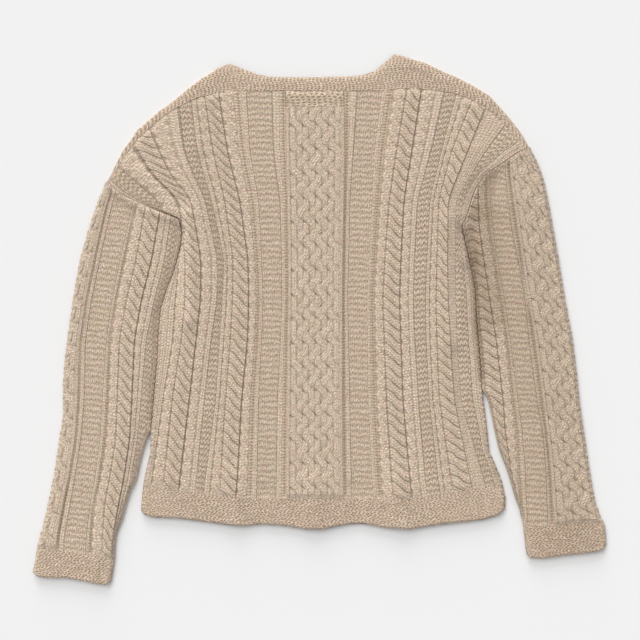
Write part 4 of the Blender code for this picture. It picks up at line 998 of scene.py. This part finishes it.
piece = make_knit("hem_back_band", [("moss", HEM_STITCHES, *sides, None)], BODY_HEIGHTS,
                  lambda x: over(x, HEM_EDGE) + teeth(x), below_hem_seam, hem_heights, moss_wool)
place_knit(piece, "hem_back")
piece = plain_panel("hem_front_band", lambda x: over(x, HEM_EDGE) + FRONT_HEM_RISE, below_hem_seam,
                    2.0 * FRONT_HEM_STEP, FRONT_HEM_STEP)
place_knit(piece, "hem_front")

# ------------------------------------------------------------------ shoulders and neck
# Strips of moss stitch, in the wool of the lower bands, join the back to the front along the
# shoulders, and a narrow band of it finishes the neck. They roll down over the front at their edge.

NECK_EDGE = table(("x", "y"), (
    (-112.0, 335.5), (-97.0, 329.5), (-76.0, 321.5), (-52.0, 320.0), (0.5, 320.0),
    (47.0, 321.5), (66.5, 324.0), (77.0, 330.5), (89.0, 342.0)))
ARMHOLE_TOP = 232.0
SEAM_CLEARANCE = 0.15   # between a sleeve and the body, measured along x or y
STRIP_HEIGHTS = np.arange(160.0, 372.0, 1.0)
STRIP_HOLLOW = 14.0     # the hollow under a strip closes over this distance from its edge
SCOOP_ENDS = (184.0, 356.0)     # degrees round the scoop's centre
SCOOP_STATIONS = 64


def armhole(x, side, clearance):
    """Height of an armhole seam at x, moved up or down the outline of the body."""
    heights = np.arange(ARMPITS[side] - 2.0, ARMHOLE_TOP, 1.0)
    return np.interp((x - side * clearance) * side, edge(heights, side) * side, heights) - clearance


def strip_heights(outline):
    """Heights of a strip that rolls down towards the shoulder or neck edge."""
    def heights(x, y, pattern):
        off = outline(x) - y
        rise = puff(x, y) * smooth(off / STRIP_HOLLOW)
        top = np.maximum((WALL + rise + pattern) * fold_round(off, 0.0), FOLD_EDGE)
        return BACK_UNDER + top, BACK_UNDER + np.minimum(rise, np.maximum(top - LEAST_WALL, 0.0))
    return heights


for name, node, first, last, outline, lower, flat, area in (
        ("shoulder_strip_left", "shoulder_left", -276.0, -112.0, lambda x: over(x, SHOULDERS[-1]),
         lambda x: np.maximum(strip_low(x), armhole(x, -1, -SEAM_CLEARANCE)), (0.190, 0.036), 0.0038),
        ("shoulder_strip_right", "shoulder_right", 89.0, 273.0, lambda x: over(x, SHOULDERS[1]),
         lambda x: np.maximum(strip_low(x), armhole(x, 1, -SEAM_CLEARANCE)), (0.210, 0.047), 0.0056),
        ("neckband_back_strip", "neckband_back", -112.0, 89.0, lambda x: over(x, NECK_EDGE),
         strip_low, (0.205, 0.030), 0.0050)):
    wales = round((last - first) / WALE)
    ends = [np.full(len(STRIP_HEIGHTS), x) for x in (first, last)]
    piece = make_knit(name, [("moss", wales, *ends, None)], STRIP_HEIGHTS, lower, outline,
                      strip_heights(outline), moss_wool)
    place_knit(piece, node)

scoop = Cloth()
faces = [], []
out = np.array((NECKBAND - 2 * SEAM, 0.0))
for angle in np.radians(np.linspace(*SCOOP_ENDS, SCOOP_STATIONS)):
    x = SCOOP_CENTRE[0] + (SCOOP_HALF_WIDTH + out) * math.cos(angle)
    y = SCOOP_CENTRE[1] + (SCOOP_DEPTH + out) * math.sin(angle)
    for face, z in zip(faces, (FRONT_TOP, 0.0)):
        face.append(scoop.strip((0, 1), x, y, np.full(2, z), wale=x / WALE, row=y / ROW))
scoop.surface(faces[0])
scoop.surface(faces[1][::-1])
scoop.join(scoop.across(faces[0], 0), scoop.across(faces[1], 0))
scoop.join(scoop.across(faces[1], -1), scoop.across(faces[0], -1))
scoop.join(faces[1][0], faces[0][0])
scoop.join(faces[0][-1], faces[1][-1])
place_knit(scoop.finish("neckband_front_strip", plain_wool), "neckband_front")

# ------------------------------------------------------------------ sleeves
# Each sleeve is one wide tube in the wool of the back, sewn to the body low on the arm. It lies flat
# with its braid on the outer fold and a rope beside the body, and its under side rests on the surface.

SLEEVE_HEIGHTS = np.arange(-358.0, ARMHOLE_TOP, 1.0)
SLEEVE_NAMES = {-1: ("height", "braid", "ladder_out", "ladder_in", "twist", "rope_out", "rope_in", "moss"),
                1: ("height", "rope_out", "rib", "ladder_in", "ladder_out", "braid")}
SLEEVE_PANELS = {-1: table(SLEEVE_NAMES[-1], (
    (190.5, -268.5, -262.0, -235.5, -229.0, -217.0, -197.5, -179.0),
    (144.5, -282.0, -274.5, -247.5, -242.0, -229.5, -209.5, -194.0),
    (78.5, -296.5, -289.0, -262.5, -256.0, -241.0, -221.0, -203.5),
    (25.5, -307.0, -300.0, -273.0, -267.0, -254.0, -234.5, -217.0),
    (-27.0, -315.0, -308.0, -280.5, -275.0, -263.0, -243.5, -227.5),
    (-106.5, -318.0, -309.5, -286.0, -278.0, -266.0, -247.0, -234.5),
    (-159.0, -321.5, -314.0, -289.0, -281.0, -268.0, -250.0, -239.5),
    (-212.0, -330.5, -322.5, -296.0, -288.5, -276.5, -258.0, -249.0),
    (-238.5, -336.5, -327.0, -301.0, -295.5, -282.0, -263.5, -256.5),
    (-291.0, -346.0, -336.5, -307.5, -300.5, -286.0, -273.0, -271.5))), 1: table(SLEEVE_NAMES[1], (
        (197.5, 209.0, 219.5, 224.5, 245.0, 251.0),
        (157.5, 209.0, 219.0, 225.5, 249.0, 255.5),
        (118.0, 211.0, 223.0, 229.0, 254.0, 261.5),
        (78.5, 216.5, 229.5, 235.0, 262.0, 267.0),
        (25.5, 224.5, 237.5, 244.5, 271.5, 275.0),
        (-27.0, 233.0, 246.0, 252.0, 276.5, 284.0),
        (-106.5, 242.0, 254.0, 262.0, 287.0, 294.5),
        (-146.0, 244.5, 259.0, 267.5, 294.5, 299.5),
        (-198.5, 252.0, 261.5, 272.0, 299.0, 305.0),
        (-238.5, 261.5, 264.0, 273.0, 300.5, 307.5),
        (-278.0, 270.5, 272.0, 275.0, 301.5, 310.0)))}
SLEEVE_OUT = {-1: table(("x", "y"), (
    (-379.0, -334.5), (-375.5, -317.5), (-373.0, -299.5), (-365.0, -271.5), (-357.5, -238.5),
    (-350.5, -205.5), (-345.0, -165.5), (-338.5, -126.0), (-339.0, -86.5), (-336.0, -47.0),
    (-330.5, -7.5), (-325.5, 28.5), (-316.0, 81.0), (-305.5, 118.0), (-292.5, 157.5),
    (-280.5, 183.0))), 1: table(("x", "y"), (
        (378.6, -302.5), (379.0, -292.5), (377.0, -270.0), (371.5, -262.0), (363.5, -238.5),
        (355.5, -192.0), (349.0, -146.0), (344.0, -113.0), (340.0, -73.5), (333.5, -20.5),
        (324.5, 25.5), (316.0, 78.5), (309.5, 115.5), (302.5, 154.0), (296.5, 184.0),
        (287.0, 210.5), (277.0, 227.0)))}
SLEEVE_IN = {-1: table(("x", "y"), (
    (-276.0, -350.0), (-273.0, -330.5), (-270.5, -315.0), (-270.0, -297.5), (-267.5, -279.0),
    (-260.5, -264.5), (-254.0, -239.5), (-250.0, -227.5), (-242.0, -212.0), (-237.0, -188.0),
    (-233.0, -172.5), (-229.0, -159.0), (-222.5, -146.0), (-180.0, -130.0))), 1: table(("x", "y"), (
        (275.0, -315.5), (273.0, -308.0), (269.0, -272.5), (266.0, -254.0), (259.0, -238.5),
        (253.0, -217.0), (247.5, -198.5), (237.0, -172.5), (231.0, -146.0), (222.5, -106.5),
        (216.0, -93.0), (170.0, -80.0)))}
MEETS_BODY = {-1: -130.0, 1: -80.0}     # below this height a sleeve lies clear of the body
SLEEVE_LANES = {-1: (
    ("plain", 1, "edge_out", "braid", 0.00, 0.20),
    ("braid", 4, "edge_out", "braid", 0.20, 1.00),
    ("gutter", 1, "braid", "ladder_out", 0.00, 0.28),
    ("rib", 1, "braid", "ladder_out", 0.28, 1.00),
    ("ladder", 5, "ladder_out", "ladder_in", 0.00, 1.00),
    ("rib", 1, "ladder_in", "twist", 0.00, 0.60),
    ("gutter", 1, "ladder_in", "twist", 0.60, 1.00),
    ("twist", 2, "twist", "rope_out", 0.00, 1.00),
    ("rope", 6, "rope_out", "rope_in", 0.00, 1.00),
    ("twist", 2, "rope_in", "moss", 0.00, 0.60),
    ("rib", 1, "rope_in", "moss", 0.60, 1.00),
    ("seed", 3, "moss", "edge_in", 0.00, 0.70),
    ("plain", 1, "moss", "edge_in", 0.70, 1.00)), 1: (
        ("plain", 1, "edge_in", "rope_out", 0.00, 0.15),
        ("rope", 6, "edge_in", "rope_out", 0.15, 1.00),
        ("twist", 2, "rope_out", "rib", 0.00, 1.00),
        ("gutter", 1, "rib", "ladder_in", 0.00, 0.45),
        ("rib", 1, "rib", "ladder_in", 0.45, 1.00),
        ("ladder", 5, "ladder_in", "ladder_out", 0.00, 1.00),
        ("rib", 1, "ladder_out", "braid", 0.00, 0.50),
        ("gutter", 1, "ladder_out", "braid", 0.50, 1.00),
        ("braid", 11, "braid", "edge_out", 0.00, 0.92),
        ("plain", 1, "braid", "edge_out", 0.92, 1.00))}
SLEEVE_STRANDS = {-1: (6.5, 8.5), 1: (-0.5, 5.0)}
CUFF_SEAM = {-1: table(("x", "y"), (
    (-373.0, -299.5), (-350.0, -304.5), (-325.0, -308.0), (-300.0, -311.5), (-270.0, -315.0))),
             1: table(("x", "y"), (
                 (269.0, -271.0), (305.0, -273.0), (330.0, -270.0), (355.0, -267.5), (377.0, -267.5)))}
INSIDE_LINES = 26
INNER_EASE, OUTER_EASE = 4.0, 6.0
SEAM_LIFT = 2.2         # how far the top of a sleeve swells beside its seam
SEAM_LIFT_END = 12.0    # and how far down the sleeve that reaches
# Beside its armpit a sleeve is sewn on flat and not folded: how far from a fold it counts as there,
# the heights from the armpit over which that begins, and how far out from the centre line it reaches
SEWN_FLAT = 8.0
SEWN_FADE = (-14.0, -4.0)
SEWN_OUT = 240.0


class Tube:
    """A sleeve or cuff lying flat, with limits at its two folds and its two ends. A cuff has a line
    where its edge rolls, and a sleeve has the height of its armpit."""

    def __init__(self, left, right, low, high, heights, roll=None, armpit=None):
        self.left, self.right, self.low, self.high, self.heights = left, right, low, high, heights
        self.roll, self.armpit = roll, armpit

    def levels(self, x, y, pattern):
        """Heights of the outer face and of the ceiling inside."""
        off = np.maximum(np.minimum(x - np.interp(y, self.heights, self.left),
                                    np.interp(y, self.heights, self.right) - x), 0.0)
        rise = puff(x, y)
        flat = 0.0
        if self.armpit is not None:
            start, end = SEWN_FADE
            flat = SEWN_FLAT * smooth((y - self.armpit - start) / (end - start))
            flat = np.where(np.abs(x) < SEWN_OUT, flat, 0.0)
        top = (WALL + rise + pattern) * fold_round(off + flat, rise)
        if self.roll:
            top = top * rolled(y - self.roll(x))
        else:
            top = top + SEAM_LIFT * (1.0 - smooth((self.high(x) - y) / SEAM_LIFT_END))
        ceiling = np.minimum(rise * smooth(off / FOLD_HOLLOW), np.maximum(top - LEAST_WALL, 0.0))
        return BACK_UNDER + top, BACK_UNDER + ceiling

    def make(self, name, lanes, material):
        """Raised outer face above, flat below, and a thin hollow between two plain faces."""
        cloth = Cloth()
        upper = knit(cloth, lanes, self.heights, self.low, self.high, self.levels)
        cloth.surface(upper)

        def face(inset, level, step=UNDER_STEP):
            left, right = self.left + inset, self.right - inset
            lines = [left + share * (right - left) for share in np.linspace(0.0, 1.0, INSIDE_LINES)]
            return plain_strips(cloth, lines, self.heights, self.low, self.high, level, step)

        turn = face(FOLD_TURN[1][0], lambda x, y: np.full(len(x), FOLD_TURN[1][1]))
        ground = [turn[0], *face(FOLD_TURN[2][0], lambda x, y: np.zeros(len(x))), turn[-1]]
        floor = face(WALL, lambda x, y: np.full(len(x), FRONT_TOP))
        ceiling = face(WALL, lambda x, y: self.levels(x, y, 0.0)[1])
        cloth.surface(ground[::-1])
        cloth.surface(floor)
        cloth.surface(ceiling[::-1])
        cloth.join(share_keys(ground[0]), share_keys(upper[0]))
        cloth.join(share_keys(upper[-1]), share_keys(ground[-1]))
        cloth.join(share_keys(ceiling[0]), share_keys(floor[0]))
        cloth.join(share_keys(floor[-1]), share_keys(ceiling[-1]))
        for end in (0, -1):
            pairs = (upper, ceiling), (floor, ground)
            for a, b in pairs if end == 0 else [pair[::-1] for pair in pairs]:
                cloth.join(cloth.across(a, end), cloth.across(b, end))
        return cloth.finish(name, material)


for side, name, flat, area in ((-1, "left", (0.250, 0.495), 0.110), (1, "right", (0.255, 0.490), 0.112)):
    heights = SLEEVE_HEIGHTS
    body = edge(heights, side) + side * SEAM_CLEARANCE
    apart = np.where(heights < MEETS_BODY[side], eased(heights, SLEEVE_IN[side], INNER_EASE), 0.0)
    inner = side * np.maximum(side * body, side * apart)
    armpit = edge(ARMPITS[side], side) + side * SEAM_CLEARANCE
    inner = np.where(heights > ARMPITS[side], armpit, inner)
    bounds = {key: eased(heights, SLEEVE_PANELS[side], LANE_EASE, key, "height")
              for key in SLEEVE_NAMES[side][1:]}
    limit, slope = inner, np.sqrt(1.0 + np.gradient(inner, 1.0) ** 2)
    for key in SLEEVE_NAMES[side][:0:side]:
        limit = limit + side * MIN_LANE * (slope if side < 0 else 1.0)
        bounds[key] = limit = side * np.maximum(side * bounds[key], side * limit)
    outer = eased(heights, SLEEVE_OUT[side], OUTER_EASE) + side * teeth(heights)
    bounds.update(edge_in=inner, edge_out=outer)
    lanes = [(kind, wales, *[bounds[a] + share * (bounds[b] - bounds[a]) for share in (start, end)],
              SLEEVE_STRANDS[side]) for kind, wales, a, b, start, end in SLEEVE_LANES[side]]
    folds = sorted((inner, outer), key=lambda fold: fold[0])
    tube = Tube(*folds, lambda x: over(x, CUFF_SEAM[side]) + SEAM,
                lambda x: armhole(x, side, SEAM_CLEARANCE), heights, armpit=ARMPITS[side])
    piece = tube.make("sleeve_" + name + "_knit", lanes, cable_wool)
    place_knit(piece, "sleeve_" + name)

# ------------------------------------------------------------------ cuffs
# Cuffs of moss stitch, in the wool of the lower bands, end the sleeves. Each is a short tube, joined
# to its sleeve all round and open at the wrist.

CUFF_HEIGHTS = np.arange(-360.0, -255.0, 1.0)
CUFF_EDGE = {-1: table(("x", "y"), (
    (-377.5, -334.0), (-374.0, -339.0), (-360.0, -341.0), (-336.5, -341.0), (-313.0, -345.0),
    (-295.0, -349.0), (-281.0, -350.5), (-275.5, -345.0))), 1: table(("x", "y"), (
        (273.5, -309.0), (277.0, -314.5), (294.5, -315.5), (318.0, -312.0), (341.5, -309.5),
        (365.0, -307.0), (374.0, -304.0), (378.8, -297.0)))}
CUFF_STITCHES = 22


def wrist(x):
    """Cast-on edge of the cuff on this side."""
    return over(x, CUFF_EDGE[side]) + teeth(x)


for side, name in ((-1, "left"), (1, "right")):
    folds = [eased(CUFF_HEIGHTS, line[side], INNER_EASE) for line in (SLEEVE_IN, SLEEVE_OUT)]
    folds = sorted(folds, key=lambda fold: fold[0])
    tube = Tube(*folds, wrist, lambda x: over(x, CUFF_SEAM[side]) - SEAM, CUFF_HEIGHTS, roll=wrist)
    piece = tube.make("cuff_" + name + "_knit", [("moss", CUFF_STITCHES, *folds, None)], moss_wool)
    place_knit(piece, "cuff_" + name)

# ------------------------------------------------------------------ floor, light and camera
# A pale matt floor, two soft lights, one high at the upper left and one low beyond the neck, and an
# even sky, with the camera straight above.

FLOOR_SIZE = 6.0
FLOOR_COLOUR = (0.86, 0.86, 0.86, 1.0)
FLOOR_ROUGHNESS = 0.9
# Direction that each light comes from, its width in degrees as seen from the garment, its strength
LIGHTS = (("key", (-0.8, 0.9, 1.5), 38.0, 1.35), ("low_window", (-0.15, 1.0, 0.34), 36.0, 1.9))
SKY_COLOUR = (1.0, 1.0, 1.0, 1.0)
SKY_STRENGTH = 0.50
CAMERA = (0.0007, -0.0007, 2.0)
LENS = 85.0

bpy.ops.mesh.primitive_plane_add(size=FLOOR_SIZE)
floor = bpy.context.object
floor.name = "floor"
paper = bpy.data.materials.new("pale_floor")
paper.use_nodes = True
shader = paper.node_tree.nodes["Principled BSDF"]
shader.inputs["Base Color"].default_value = FLOOR_COLOUR
shader.inputs["Roughness"].default_value = FLOOR_ROUGHNESS
floor.data.materials.append(paper)

world = bpy.data.worlds.new("studio")
bpy.context.scene.world = world
world.use_nodes = True
sky = world.node_tree.nodes["Background"]
sky.inputs["Color"].default_value = SKY_COLOUR
sky.inputs["Strength"].default_value = SKY_STRENGTH

for name, direction, width, strength in LIGHTS:
    light = bpy.data.lights.new(name, "SUN")
    light.angle = math.radians(width)
    light.energy = strength
    lamp = bpy.data.objects.new(name, light)
    lamp.rotation_euler = (-Vector(direction)).to_track_quat("-Z", "Y").to_euler()
    bpy.context.collection.objects.link(lamp)

view = bpy.data.cameras.new("view")
view.lens = LENS
camera = bpy.data.objects.new("view", view)
camera.location = CAMERA
bpy.context.collection.objects.link(camera)
bpy.context.scene.camera = camera
bpy.context.scene.view_settings.view_transform = "Standard"
